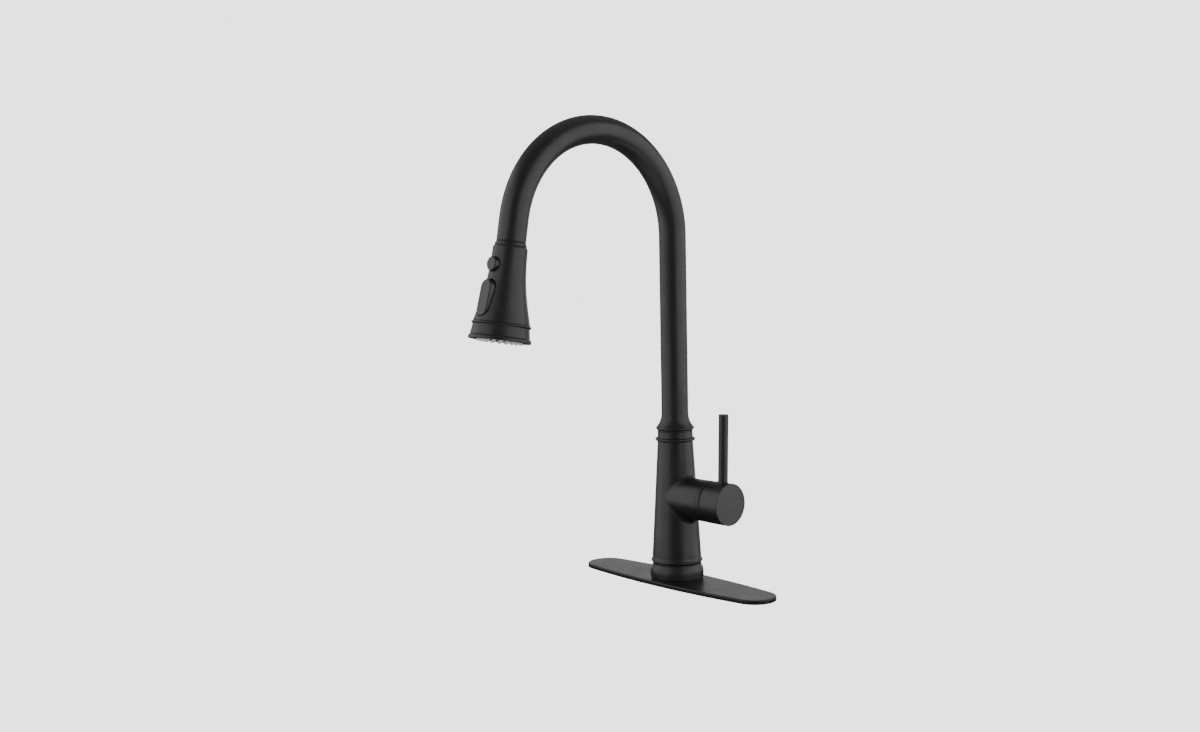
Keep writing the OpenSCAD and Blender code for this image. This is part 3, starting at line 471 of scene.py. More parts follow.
# %% The column's outline
SEAM = 160.0
CONE_FOOT, CONE_TOP = (25.7, 26.0), (18.4, 150.6)
CONE_SLOPE = (CONE_FOOT[0] - CONE_TOP[0]) / (CONE_TOP[1] - CONE_FOOT[1])
CONE_LEAN = np.arctan(CONE_SLOPE)
PORT_RADIUS, PORT_END, PORT_BORE, FILLET = 21.2, 48.0, 17.45, 6.0
WINDOW_FOOT, WINDOW_TOP, WINDOW_STEPS, STEPS_BELOW = 55.0, 128.0, 30, 9
SOCKET_FLOOR, SUPPLY_OFFSET, SUPPLY_ANGLE = 23.0, 12.1, 62.0
SUPPLY_NEAR, SUPPLY_STEPS, SUPPLY_HALF = 8.3, 6, 9


def cone_radius(height):
    """Straight taper: the top radius plus the slope times the distance below the top."""
    return CONE_TOP[0] + CONE_SLOPE * (CONE_TOP[1] - height)


def bead(radius, thick, height, steps=14):
    """Half circle that stands out of a turned side, from below to above."""
    return arc((radius - thick, height), thick, -78, 78, steps)


column_below = rounded([
    (16.0, BASE_FOOT, 0.2), (20.9, BASE_FOOT, 0.2), (20.9, 20.95, 0.15), (25.3, 20.95, 0.12),
    (25.3, 22.6, 0.4), *bead(27.0, 1.45, 24.6)[2:-1], (cone_radius(27.2), 27.2),
    (cone_radius(29.0), 29.0),
])[:-1]
column_above = rounded([
    (cone_radius(146.0), 146.0), (cone_radius(148.6), 148.6), (18.45, 149.9, 0.35),
    *bead(20.75, 1.75, 151.8)[2:-2], (18.4, 153.75, 0.4), (18.2, SEAM, 0.25),
    (15.2, SEAM, 0.2), (15.2, 130.0, 0.2), (8.0, 130.0, 0.3), (8.0, SOCKET_FLOOR, 0.05),
    *with_end(np.linspace(SUPPLY_NEAR, 15.75, SUPPLY_STEPS + 1), SOCKET_FLOOR),
    (16.0, SOCKET_FLOOR, 0.05),
])
straight = stretches((29.0, WINDOW_FOOT, WINDOW_TOP, 146.0), (STEPS_BELOW, WINDOW_STEPS, 6))[:-1]
column_outline = np.vstack([
    column_below, np.column_stack([cone_radius(straight), straight]), column_above,
])
print("column outline:", len(column_outline), "points")

# %% The rolling ball between cone and port
HALF_WINDOW = 50  # columns of the grid on each side of the port


def ball_centre(a):
    """A ball's centre: PORT_RADIUS + FILLET from the port's axis, and the cone's radius plus the
    fillet over the lean's cosine from the column's."""
    y = (PORT_RADIUS + FILLET) * np.cos(a)
    z = PORT_HEIGHT + (PORT_RADIUS + FILLET) * np.sin(a)
    out = cone_radius(z) + FILLET / np.cos(CONE_LEAN)
    return np.stack([np.sqrt(out**2 - y**2), y, z], -1)


def to_cone(ball):
    """Unit direction from the ball's centre to where it touches the cone."""
    return -with_end(unit(ball[:, :2]) * np.cos(CONE_LEAN), np.sin(CONE_LEAN))


def to_port(a):
    """Unit direction from the ball's centre to where it touches the port."""
    return np.stack([np.zeros_like(a), -np.cos(a), -np.sin(a)], -1)


def between(u, v, t):
    """Directions that turn evenly from u to v, t from 0 to 1."""
    w = np.arccos(np.clip((u * v).sum(-1), -1, 1))[:, None]
    return (np.sin((1 - t) * w) * u + np.sin(t * w) * v) / np.sin(w)


# %% [markdown]
# A window in a grid is always made the same way: leave out the faces inside it, read the numbers
# of the points round its frame in order, and fill the space between the frame and any closed curve
# with rows in between.

# %% Windows in a grid
def window_frame(rows, low, high, left, right):
    """Point numbers round a window: along the foot, up the right side, back along the top and down
    the left side. The columns wrap round the axis."""
    wrap = rows.shape[1]
    foot = rows[low, np.arange(left, right) % wrap]
    side = rows[np.arange(low, high), right % wrap]
    top = rows[high, np.arange(right, left, -1) % wrap]
    other = rows[np.arange(high, low, -1), left % wrap]
    return np.concatenate([foot, side, top, other])


def faces_outside(rows, closed, windows):
    """All the grid's faces but those in the windows."""
    faces = strips(rows, closed).reshape(-1, rows.shape[1], 4)
    keep = np.ones(faces.shape[:2], bool)
    for low, high, left, right in windows:
        keep[low:high, np.arange(left, right) % rows.shape[1]] = False
    return faces[keep]


def nearest_row(outline, radius, height):
    """Number of the outline's point that is nearest to a place."""
    return int(np.argmin(np.hypot(*(outline - [radius, height]).T)))


def without_unused(points, faces):
    """Drops the points that no face uses, and numbers the rest anew."""
    used = np.zeros(len(points), bool)
    for face in faces:
        used[face] = True
    number = np.cumsum(used) - 1
    return points[used], [number[face].tolist() for face in faces]


def fill_window(ring, layers, start):
    """Rows of points that lead from a window's frame to a flat end. Returns the points, with the
    end's middle last, and their faces."""
    layers = np.array(layers)
    numbers = numbered(layers, start)
    faces = strip(ring, numbers[0]).tolist() + strips(numbers, False).tolist()
    faces += fan_to(start + numbers.size, numbers[-1])
    return np.vstack([layers.reshape(-1, 3), layers[-1].mean(0)]), faces


def lead_rows(frame_points, edge, shares, radius_at):
    """Rows from a window's frame to an edge on a turned side: each point's angle and height go
    evenly from the one to the other, and its radius is a function of its height."""
    (a, low), (b, high) = [
        (np.arctan2(curve[:, 1], curve[:, 0]), curve[:, 2]) for curve in (frame_points, edge)
    ]
    angle, height = a + shares[:, None] * (b - a), low + shares[:, None] * (high - low)
    radius = radius_at(height)
    return np.stack([radius * np.cos(angle), radius * np.sin(angle), height], -1)


def round_hole(away, rows):
    """Rows (share, radius, height) from a window's frame to a round hole and down its wall: share
    0 is the frame, which lies away from the hole's middle, and share 1 is a circle."""
    return [((1 - share) * away + share * radius * unit(away), height)
            for share, radius, height in rows]


# %% Build the column
column_points = revolve(column_outline)
column_rows = numbered(column_points)
column_flat = column_points.reshape(-1, 3)
low_row = len(column_below) + STEPS_BELOW
column_window = (low_row, low_row + WINDOW_STEPS, -HALF_WINDOW, HALF_WINDOW)
frame_ring = window_frame(column_rows, *column_window)
frame_points = column_flat[frame_ring]
frame_angle = np.arctan2(frame_points[:, 1], frame_points[:, 0])

half_angle = HALF_WINDOW * 2 * np.pi / AROUND
half_height = (WINDOW_TOP - WINDOW_FOOT) / 2
spoke = np.arctan2((frame_points[:, 2] - PORT_HEIGHT) / half_height, frame_angle / half_angle)
ball = ball_centre(spoke)
u, v = to_cone(ball), to_port(spoke)
shares = 1 - np.linspace(1, 0, 12)[1:] ** 1.4
fan = lead_rows(frame_points, ball + FILLET * u, shares, cone_radius)
fillet = np.array([ball + FILLET * between(u, v, t) for t in np.linspace(0, 1, 13)[1:]])


def port_circle(x, radius):
    """A circle round the port's axis through the spokes, x out from the column's axis."""
    return np.column_stack([
        x + 0 * spoke, radius * np.cos(spoke), PORT_HEIGHT + radius * np.sin(spoke),
    ])


rim = rounded([(PORT_RADIUS, 30.0), (PORT_RADIUS, PORT_END, 0.3), (PORT_BORE, PORT_END, 0.3),
               (PORT_BORE, 12.3, 0.3), (4.0, 12.3)])[1:]
start_x = fillet[-1][:, 0]
lead = [port_circle(start_x + share * (rim[0, 1] - start_x), PORT_RADIUS)
        for share in np.linspace(0, 1, 9)[1:-1]]
port = [port_circle(x, radius) for radius, x in rim]
layers = np.concatenate([fan, fillet, lead, port])
fills = [fill_window(frame_ring, layers, len(column_flat))]

# %% Three ports for the supply hoses in the socket's floor
SUPPLY_ROWS = [(0.5, 3.8, 0.0)] + [(1.0, radius, rise) for radius, rise in (
    (3.8, 0.0), (3.6, 0.0), (3.5, 0.1), (3.5, 0.5), (3.5, 11.6), (3.5, 12.0),
    (3.2, 12.0), (2.9, 12.0), (2.6, 12.1), (2.6, 12.6), (2.6, 60.0),
)]
floor_row = nearest_row(column_outline, SUPPLY_NEAR, SOCKET_FLOOR)
windows = [column_window]
for angle in (0.0, SUPPLY_ANGLE, -SUPPLY_ANGLE):
    first = round(angle / 360 * AROUND) - SUPPLY_HALF
    windows.append((floor_row, floor_row + SUPPLY_STEPS, first, first + 2 * SUPPLY_HALF))
    ring = window_frame(column_rows, *windows[-1])
    centre = SUPPLY_OFFSET * np.array([np.cos(np.radians(angle)), np.sin(np.radians(angle))])
    hole = round_hole(column_flat[ring][:, :2] - centre, SUPPLY_ROWS)
    layers = [with_end(centre + flat, SOCKET_FLOOR + rise) for flat, rise in hole]
    start = len(column_flat) + sum(len(points) for points, _ in fills)
    fills.append(fill_window(ring, layers, start))

# %% The column as one shell
column_all = np.vstack([column_flat] + [points for points, _ in fills])
column_faces = faces_outside(column_rows, True, windows).tolist()
column_faces += [face for _, faces in fills for face in faces]
make_piece("faucet_body_column", without_unused(column_all, column_faces), powder_black,
           "base", "faucet_body")

# %% [markdown]
# ## The handle
#
# Between the port and the hub sits the bonnet, whose outer end is part of a ball about the
# cartridge's pin. The hub has the matching hollow, so that it can tilt and turn on the bonnet
# with an even, hair-thin seam. The lever is a plain rod with a softened edge at its tip.

# %% Bonnet, hub, lever
HUB_FOOT, HUB_END, DOME, HOLLOW = 54.5, 77.5, 30.55, 30.9
LEVER_RADIUS, LEVER_FOOT, LEVER_TIP = 5.0, 9.5, 90.9


def dome_arc(radius, low, high, steps):
    """Part of a ball about the pin, as (distance from the port's axis, distance along it)."""
    out = np.linspace(low, high, steps + 1)
    return np.column_stack([out, PIVOT_X + np.sqrt(radius**2 - out**2)])


bonnet_outline = rounded([
    (17.4, 43.8, 0.3), (17.4, PORT_END + FACE_GAP, 0.1), (PORT_RADIUS, PORT_END + FACE_GAP, 0.3),
    *dome_arc(DOME, PORT_RADIUS, 13.1, 16), *dome_arc(DOME - 2.6, 13.1, 15.3, 4),
    (15.4, 43.8, 0.3),
])
make_piece("bonnet_ring", ring_shell(at_port(revolve(bonnet_outline))), powder_black,
           "base", "bonnet")

SIDE_STEPS, SIDE_MARGIN = 14, 1.5
hub_side = np.linspace(HUB_FOOT + SIDE_MARGIN, HUB_END - SIDE_MARGIN, SIDE_STEPS + 1)
hub_outline = np.vstack([
    rounded([(0.01, HUB_END), (10.0, HUB_END), (HUB_RADIUS, HUB_END, 0.45),
             (HUB_RADIUS, hub_side[-1])]),
    np.column_stack([np.full(SIDE_STEPS - 1, HUB_RADIUS), hub_side[-2:0:-1]]),
    rounded([(HUB_RADIUS, hub_side[0]), (HUB_RADIUS, HUB_FOOT, 0.25), (19.9, HUB_FOOT, 0.05),
             *dome_arc(HOLLOW, 19.5, 0.01, 16)]),
])
hub_points = revolve(hub_outline)
hub_flat, hub_faces = capped_shell(hub_points)
hub_rows = numbered(hub_points)

SCREW_X = 66.0
SCREW_ROWS = [(0.4, 3.1, 21.5), (0.8, 3.1, 21.5), (1.0, 3.0, 21.5), (1.0, 2.65, 21.5),
              (1.0, 2.5, 21.2), (1.0, 2.5, 20.5), (1.0, 2.5, 7.0), (1.0, 2.5, 6.7)]
middle_row = nearest_row(hub_outline, HUB_RADIUS, SCREW_X)
screw_window = (middle_row - 3, middle_row + 3, -6, 6)
ring = window_frame(hub_rows, *screw_window)
layers = []
for flat, height in round_hole(hub_flat[ring][:, 1:] - [0.0, SCREW_X], SCREW_ROWS):
    out = np.minimum(np.sqrt(HUB_RADIUS**2 - flat[:, 0] ** 2), height)
    layers.append(np.column_stack([out, flat + [0.0, SCREW_X]]))
screw_points, screw_faces = fill_window(ring, layers, len(hub_flat))
ends = hub_faces[hub_rows[1:].size:]
hub_faces = faces_outside(hub_rows, False, [screw_window]).tolist() + ends + screw_faces
hub_flat, hub_faces = without_unused(np.vstack([hub_flat, screw_points]), hub_faces)
make_piece("handle_hub_turned", (at_port(hub_flat), hub_faces), powder_black,
           "handle", "handle_hub")

lever_outline = rounded([
    (0.01, LEVER_FOOT), (LEVER_RADIUS, LEVER_FOOT, 0.3), (LEVER_RADIUS, LEVER_TIP, 0.5),
    (0.01, LEVER_TIP),
])
lever_points = revolve(lever_outline, SMALL_AROUND)
make_piece("handle_lever_rod", capped_shell(at_lever(lever_points)), powder_black,
           "handle", "handle_lever")

# %% [markdown]
# ## The spout
#
# The collar flares down from the tube to a sharp bead, and its spigot turns in the body on two
# bushes. The tube is a ring carried along a path: straight up, round the arc and straight down the
# outlet. The path is a function of the distance along it, and the hose inside follows the same.

# %% Collar
COLLAR_TOP, TUBE_RADIUS, TUBE_BORE = 177.8, 14.0, 12.9
flare = bezier((20.1, 163.5), (17.4, 167.4), (14.9, 169.6), (14.12, 177.3), 16)
collar_outline = rounded([
    (9.4, 134.0, 0.3), (13.3, 134.0, 0.3), (13.3, SEAM + FACE_GAP, 0.1),
    (18.2, SEAM + FACE_GAP, 0.25), (18.35, 161.6, 0.3), (19.3, 162.2, 0.4), (20.2, 163.1, 0.25),
    *flare, (14.1, COLLAR_TOP - FACE_GAP), (14.06, COLLAR_TOP), (14.02, COLLAR_TOP),
    (14.02, 165.8, 0.2), (9.4, 165.8, 0.3),
])
make_piece("spout_collar_turned", ring_shell(revolve(collar_outline)), powder_black,
           "spout", "spout_collar")

# %% Tube along its path
ARC_RUN = ARC_RADIUS * (np.pi - OUTLET_TILT)


def path_point(distance):
    """Middle of the pipe at a distance from the deck, and the direction into the bend. The arc
    turns by distance / radius. Before it the pipe is upright, and after it straight."""
    turn = np.clip((distance - ARC_HEIGHT) / ARC_RADIUS, 0, np.pi - OUTLET_TILT)
    flat = -ARC_RADIUS * (1 - np.cos(turn))
    height = np.minimum(distance, ARC_HEIGHT) + ARC_RADIUS * np.sin(turn)
    beyond = np.maximum(distance - ARC_HEIGHT - ARC_RUN, 0)[:, None]
    middle = np.column_stack([np.zeros_like(distance), flat, height]) + beyond * DOWN_OUTLET
    inward = np.column_stack([np.zeros_like(turn), -np.cos(turn), -np.sin(turn)])
    return middle, inward


def carried(section, around):
    """Rows (distance along the path, radius): at each a circle across the path,
    middle + r (cos a RIGHT + sin a inward)."""
    distance, radius = np.asarray(section, float).T
    middle, inward = path_point(distance)
    a = turns(around)[None, :, None]
    ring = np.cos(a) * RIGHT + np.sin(a) * inward[:, None, :]
    return middle[:, None, :] + radius[:, None, None] * ring


TUBE_FOOT, JOINT = 165.9, 22.6
OUTLET_RUN = ARC_HEIGHT + ARC_RUN
tube_end = OUTLET_RUN + JOINT - FACE_GAP
tube_stops = stretches((170.0, ARC_HEIGHT, OUTLET_RUN, tube_end - 1), (11, 96, 7))
tube_section = rounded([
    (TUBE_FOOT, TUBE_BORE, 0.2), (TUBE_FOOT, TUBE_RADIUS, 0.2),
    *with_end(tube_stops, TUBE_RADIUS),
    (tube_end, TUBE_RADIUS, 0.25), (tube_end, TUBE_BORE, 0.2),
    *with_end(tube_stops[::-1], TUBE_BORE),
])
make_piece("spout_tube_bent", ring_shell(carried(tube_section, 96)), powder_black,
           "spout", "spout_tube")
print("tube length:", round(tube_end - TUBE_FOOT, 1), "mm")

# %% [markdown]
# ## The spray head
#
# The head hangs below the joint line: a thin neck ring, a shell that flares like a bell, and a
# lower ring with a bead, a band and a rim. The shell's two openings in front, a round one and a
# long one, are windows in its grid again, filled down to the edge of a hole whose wall goes
# straight in, with a small round where it starts.

# %% Neck ring
NECK_SPIGOT, SHELL_TOP, SHELL_FOOT, RIM_FOOT = 10.4, 26.6, 99.0, 115.6
neck_outline = rounded([
    (8.6, 9.6, 0.3), (NECK_SPIGOT, 9.6, 0.4), (NECK_SPIGOT, JOINT, 0.2), (13.8, JOINT, 0.25),
    (14.55, JOINT + 0.9, 0.6), (15.1, JOINT + 2.6, 0.8), (15.1, SHELL_TOP - FACE_GAP, 0.25),
    (12.4, SHELL_TOP - FACE_GAP, 0.1), (12.4, 34.6, 0.3), (8.6, 34.6, 0.3),
])
make_piece("head_neck_ring", ring_shell(at_outlet(revolve(neck_outline, around=128))), head_black,
           "spray_head", "head_neck")

# %% The shell's side and the shapes of its openings
SHELL_AROUND, SHELL_WALL = 144, 2.2
BUTTON_S, BUTTON_RADIUS, PANEL_GAP = 45.6, 6.75, 0.35
ROCKER_S, ROCKER_PIN, ROCKER_HALF, ROCKER_REACH, ROCKER_SWEEP = 78.2, 17.6, 7.6, 9.9, 0.6
ROCKER_SLOPE = np.radians(5.1)

shell_side = bezier((16.52, 29.3), (16.9, 59.0), (20.3, 72.6), (26.9, SHELL_FOOT), 60)


def shell_radius(s):
    """Radius of the shell at a distance down the outlet, read off its curve."""
    return np.interp(s, shell_side[:, 1], shell_side[:, 0])


def on_shell(x, s, depth):
    """Point of the shell, sunk by a depth, that lies x to the right of the head's middle."""
    return np.sqrt((shell_radius(s) - depth) ** 2 - x**2)


def round_opening(share, grow, depth):
    """Edge of the round opening: a circle seen straight on, laid on the shell."""
    a = 2 * np.pi * share
    reach = BUTTON_RADIUS + PANEL_GAP + grow
    x, s = reach * np.cos(a), BUTTON_S + reach * np.sin(a)
    return np.stack([x, on_shell(x, s, depth), s], -1)


def stadium(share, radius, reach_low, reach_high):
    """Two half circles and two straight sides, walked evenly from the middle of the right side
    towards the foot. The direction out turns only on the half circles, and the middle that it
    starts from moves only on the straight sides: down, up and down again."""
    straight, half = reach_low + reach_high, np.pi * radius
    walk = (share % 1.0) * 2 * (straight + half)
    past_low = walk - reach_low
    past_high = past_low - half - straight
    turn = (np.clip(past_low, 0, half) + np.clip(past_high, 0, half)) / radius
    middle = np.clip(past_low - half, 0, straight) - np.minimum(walk, reach_low)
    middle -= np.maximum(past_high - half, 0)
    return radius * np.cos(turn), middle - radius * np.sin(turn)


def long_opening(share, grow, depth):
    """Edge of the long opening: a stadium square to the rocker's sloping face, laid on the shell.
    The height of each point along that slope is found by going back and forth twenty times."""
    radius = ROCKER_HALF + PANEL_GAP + grow
    x, y = stadium(share, radius, ROCKER_REACH, ROCKER_REACH + ROCKER_SWEEP)
    c, t = np.cos(ROCKER_SLOPE), np.sin(ROCKER_SLOPE)
    s = ROCKER_S - y
    for _ in range(20):
        out = on_shell(x, s, depth)
        height = (out - ROCKER_PIN + y * t) / c
        s = ROCKER_S - y * c - height * t
    return np.stack([x, on_shell(x, s, depth), s], -1)


# %% Build the shell: an outer and an inner skin, joined through the openings
HALF_PANE, TOP_STEPS, ROUND_STEPS, LONG_STEPS = 14, 4, 15, 26
shell_stops = stretches((29.3, 34.5, 56.7, 97.6), (TOP_STEPS, ROUND_STEPS, LONG_STEPS))
PANES = [
    (TOP_STEPS, ROUND_STEPS, round_opening),
    (TOP_STEPS + ROUND_STEPS, LONG_STEPS, long_opening),
]
EDGE = [(0.55, 0.0), (0.36, 0.0), (0.2, 0.04), (0.08, 0.13), (0.02, 0.25), (0.0, 0.4), (0.0, 1.2)]


def shell_skin(outline, first_stop, depth, start, edge):
    """One skin of the shell: rows round the head, counted from the front, then for each opening
    the rows from its window's frame to its edge. Returns points, faces, opening rings and rows."""
    swap = [1, 0, 2]
    points = revolve(outline, SHELL_AROUND)[:, :, swap]
    rows = numbered(points, start)
    all_points, faces, rings, windows = [points.reshape(-1, 3)], [], [], []
    count = start + rows.size
    for low, height, opening in PANES:
        windows.append((first_stop + low, first_stop + low + height, -HALF_PANE, HALF_PANE))
        ring = window_frame(rows, *windows[-1])
        share = (np.arange(len(ring)) - 2 * HALF_PANE - height / 2) / len(ring)
        edges = np.array([opening(share, grow, deep) for grow, deep in edge])
        lead = lead_rows(all_points[0][ring - start][:, swap], edges[0][:, swap],
                         np.linspace(0, 1, 6)[1:-1], lambda s: shell_radius(s) - depth)
        fill = np.concatenate([lead[:, :, swap], edges])
        numbers = numbered(fill, count)
        count += numbers.size
        all_points.append(fill.reshape(-1, 3))
        faces += list(strip(ring, numbers[0])) + list(strips(numbers, False))
        rings.append(numbers[-1])
    faces += list(faces_outside(rows, False, windows))
    return np.vstack(all_points), faces, rings, rows


outer_top = rounded([(12.5, SHELL_TOP), (15.15, SHELL_TOP, 0.3), (15.9, 27.4, 0.8),
                     (16.45, 28.4, 0.8), (16.53, 30.5)])[1:-1]
shell_line = np.column_stack([shell_radius(shell_stops), shell_stops])
outer_outline = np.vstack([
    [[12.5, SHELL_TOP]], outer_top, shell_line, [[26.86, SHELL_FOOT - 0.2], [26.7, SHELL_FOOT]],
])
inner_outline = np.vstack([
    [[12.5, SHELL_TOP + 2.4], [14.0, SHELL_TOP + 2.4]], shell_line - [SHELL_WALL, 0.0],
    [[24.7, SHELL_FOOT]],
])
outer = shell_skin(outer_outline, len(outer_top) + 1, 0.0, 0, EDGE)
inner_edge = [(0.4, SHELL_WALL), (0.0, SHELL_WALL)]
inner = shell_skin(inner_outline, 2, SHELL_WALL, len(outer[0]), inner_edge)
shell_faces = (
    outer[1] + inner[1]
    + [face for a, b in zip(outer[2], inner[2]) for face in strip(a, b)]
    + list(strip(outer[3][0], inner[3][0])) + list(strip(outer[3][-1], inner[3][-1]))
)
shell_points = at_outlet(np.vstack([outer[0], inner[0]]))
make_piece("head_shell_bell", without_unused(shell_points, shell_faces), head_black,
           "spray_head", "head_shell")

# %% Lower ring: bead, band and rim
ring_outline = rounded([
    (24.1, SHELL_FOOT + FACE_GAP, 0.1), (26.6, SHELL_FOOT + FACE_GAP, 0.08),
    *arc((27.0, 100.15), 1.12, -78, 72, 14), (26.85, 101.9, 0.3), (27.2, 104.6, 4.0),
    (28.15, 111.3, 0.4), (28.9, 111.9, 0.4), (29.65, 112.9, 0.7), (29.65, 115.0, 0.6),
    (29.0, RIM_FOOT, 0.3), (25.65, RIM_FOOT, 0.4), (25.62, 112.0, 0.2), (24.1, 111.0, 0.3),
])
make_piece("head_ring_turned", ring_shell(at_outlet(revolve(ring_outline))), head_black,
           "spray_head", "head_ring")

# %% [markdown]
# ## Buttons
#
# The pause button is a short turned plug with a soft edge. Behind it stands a coil spring, with
# its foot on the head's core and its top under the button. The rocker is a stadium with a flat,
# sloping
# face: its rows are the same stadium drawn in step by step where the edge rounds over, and they
# end in a narrow strip down the middle.

# %% Pause button
at_button = frame_at(at_outlet([0, 0, BUTTON_S]), RIGHT, -DOWN_OUTLET, OUTLET_FRONT)
button_outline = rounded([
    (0.01, 20.8), (4.0, 20.8), (BUTTON_RADIUS, 20.8, 1.3), (BUTTON_RADIUS, 15.4, 0.2),
    (0.01, 15.4),
])
button_points = revolve(button_outline, SMALL_AROUND)
make_piece("pause_button_cap", capped_shell(at_button(button_points)), button_grey,
           "button", "pause_button")

# %% The button's spring
SPRING_COIL, SPRING_WIRE, SPRING_TURNS, SPRING_FOOT, SPRING_TOP = 3.1, 0.25, 3, 10.83, 15.32
SPRING_STEPS, WIRE_AROUND = 32, 12


def spring_rings():
    """Rings of wire on a helix: round the button's axis by an angle, and along it by the rise
    times the angle. Each ring lies across the helix's own direction."""
    a = np.linspace(0, 2 * np.pi * SPRING_TURNS, SPRING_STEPS * SPRING_TURNS + 1)
    rise = (SPRING_TOP - SPRING_FOOT - 2 * SPRING_WIRE) / a[-1]
    out = np.column_stack([np.cos(a), np.sin(a), 0 * a])
    along = np.column_stack([-SPRING_COIL * out[:, 1], SPRING_COIL * out[:, 0], rise + 0 * a])
    across = np.cross(unit(along), out)
    middle = SPRING_COIL * out + np.outer(SPRING_FOOT + SPRING_WIRE + rise * a, [0, 0, 1])
    b = turns(WIRE_AROUND)[None, :, None]
    return middle[:, None] + SPRING_WIRE * (np.cos(b) * out[:, None] + np.sin(b) * across[:, None])


spring = make_piece("button_spring_coil", capped_shell(at_button(spring_rings())), steel,
                    None, "button_spring")
spring_ends = at_button([[0, 0, SPRING_FOOT], [0, 0, SPRING_TOP]]) * MM
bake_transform(spring)

# %% Rocker
pin_place = at_outlet([0, ROCKER_PIN, ROCKER_S])
face_out = OUTLET_FRONT * np.cos(ROCKER_SLOPE) - DOWN_OUTLET * np.sin(ROCKER_SLOPE)
face_up = -DOWN_OUTLET * np.cos(ROCKER_SLOPE) - OUTLET_FRONT * np.sin(ROCKER_SLOPE)
at_rocker = frame_at(pin_place, RIGHT, face_up, face_out)
ROCKER_FACE, ROCKER_BACK = 7.2, -0.8
rocker_edge = rounded([
    (7.0, ROCKER_FACE - 0.04), (3.0, ROCKER_FACE), (0.0, ROCKER_FACE, 1.5),
    (0.0, ROCKER_BACK, 0.3), (3.0, ROCKER_BACK), (7.0, ROCKER_BACK),
])
rocker_share = np.linspace(0, 1, 96, endpoint=False)
rocker_rows = []
for inset, height in rocker_edge:
    x, y = stadium(rocker_share, ROCKER_HALF - inset, ROCKER_REACH, ROCKER_REACH)
    rocker_rows.append(with_end(np.column_stack([x, y]), height))
rocker_rows = [rocker_rows[0] * [0.02, 1, 1], *rocker_rows, rocker_rows[-1] * [0.02, 1, 1]]
make_piece("rocker_key", capped_shell(at_rocker(rocker_rows)), button_grey,
           "rocker", "rocker")

# %% [markdown]
# ## Under the head
#
# Soft silicone nozzles stand through the spray plate in two rows, so that lime can be rubbed off
# them. From the side only their tips show, as a row of light dots below the rim.

# %% Nozzles
PLATE_FACE, NOZZLE_RADIUS, NOZZLE_TIP, NOZZLE_ROOT = 114.4, 1.4, 2.8, 2.6
NOZZLE_RINGS = [(20.4, 20), (14.2, 13)]
tip_outline = rounded([
    (0.45, PLATE_FACE + NOZZLE_TIP, 0.12),
    (1.0, PLATE_FACE + NOZZLE_TIP, 0.3), (NOZZLE_RADIUS, PLATE_FACE, 0.5),
    (NOZZLE_RADIUS, PLATE_FACE - NOZZLE_ROOT, 0.2), (0.45, PLATE_FACE - NOZZLE_ROOT, 0.1),
], steps=3)
tips = []
for radius, count in NOZZLE_RINGS:
    for a in turns(count):
        points, faces = ring_shell(revolve(tip_outline, around=20))
        place = [radius * np.cos(a), -radius * np.sin(a), 0.0]
        tips.append((at_outlet(points + place), faces))
make_piece("spray_nozzle_tips", joined(tips), silicone,
           "spray_head", "spray_nozzles")

# %% [markdown]
# ## The hose
#
# The hose is a tube under a tight nylon braid. It lies inside the spout and shows only when the
# head is pulled out. So it is made in two lengths: one fills the column and the arc and turns with
# the spout, and a short straight one sits above the head. The braid follows the hose's own
# lengthwise measure, and in the second length that measure runs as it will when the head is pulled
# out by nearly half a metre, so that the braid comes out even.

# %% Hose in two lengths
HOSE_RADIUS, HOSE_BORE, HOSE_FOOT, HOSE_AROUND = 6.4, 4.0, 35.0, 40
PULL, STRETCH_FROM, STRETCH_TO, DRAWN_END = 450.0, 0.3, 4.2, 4.6


def braid_material():
    """Grey nylon with a fine diamond pattern from the hose's own UV map: two sets of slanting
    waves, one running each way. The higher of the two gives the shade and the bumps."""
    material, shader = new_material("nylon_braid_grey")
    tree = material.node_tree
    uv = add_node(tree, "UVMap", {}, "UV", uv_map="along")
    waves = []
    for slant in (0.785, -0.785):
        turned = add_node(tree, "Mapping", {"Vector": uv, "Rotation": (0.0, 0.0, slant)}, "Vector")
        wave = {"Vector": turned, "Scale": 7.0, "Distortion": 0.0}
        waves.append(add_node(tree, "TexWave", wave, "Fac"))
    weave = add_node(tree, "Math", dict(enumerate(waves)), "Value", operation="MAXIMUM")
    set_inputs(shader, {
        "Roughness": 0.6, "Sheen Weight": 0.2,
        "Base Color": mixed(tree, weave, (0.05, 0.05, 0.05), (0.2, 0.2, 0.205)),
        "Normal": bumps(tree, weave, 0.3),
    })
    return material


def hose_length(name, stops, lengths, body):
    """One length of hose through the stops along the path. The map's second measure is the
    hose's own length at each stop, and its first runs round the hose."""
    section = np.vstack([with_end(stops, HOSE_RADIUS), with_end(stops[::-1], HOSE_BORE)])
    piece = make_piece(name, ring_shell(carried(section, HOSE_AROUND)), braid, body,
                       "pull_out_hose")
    along = np.repeat(np.concatenate([lengths, lengths[::-1]]), HOSE_AROUND)
    loops = np.zeros(len(piece.data.loops), int)
    piece.data.loops.foreach_get("vertex_index", loops)
    columns = loops.reshape(-1, 4) % HOSE_AROUND
    seam = columns - columns.min(1, keepdims=True) > HOSE_AROUND // 2
    around = np.where(seam, columns - HOSE_AROUND, columns) / HOSE_AROUND
    layer = piece.data.uv_layers.new(name="along")
    layer.data.foreach_set("uv", np.column_stack([
        around.ravel() * 4.0, along[loops] / 10.0,
    ]).astype(np.float32).ravel())
    return piece


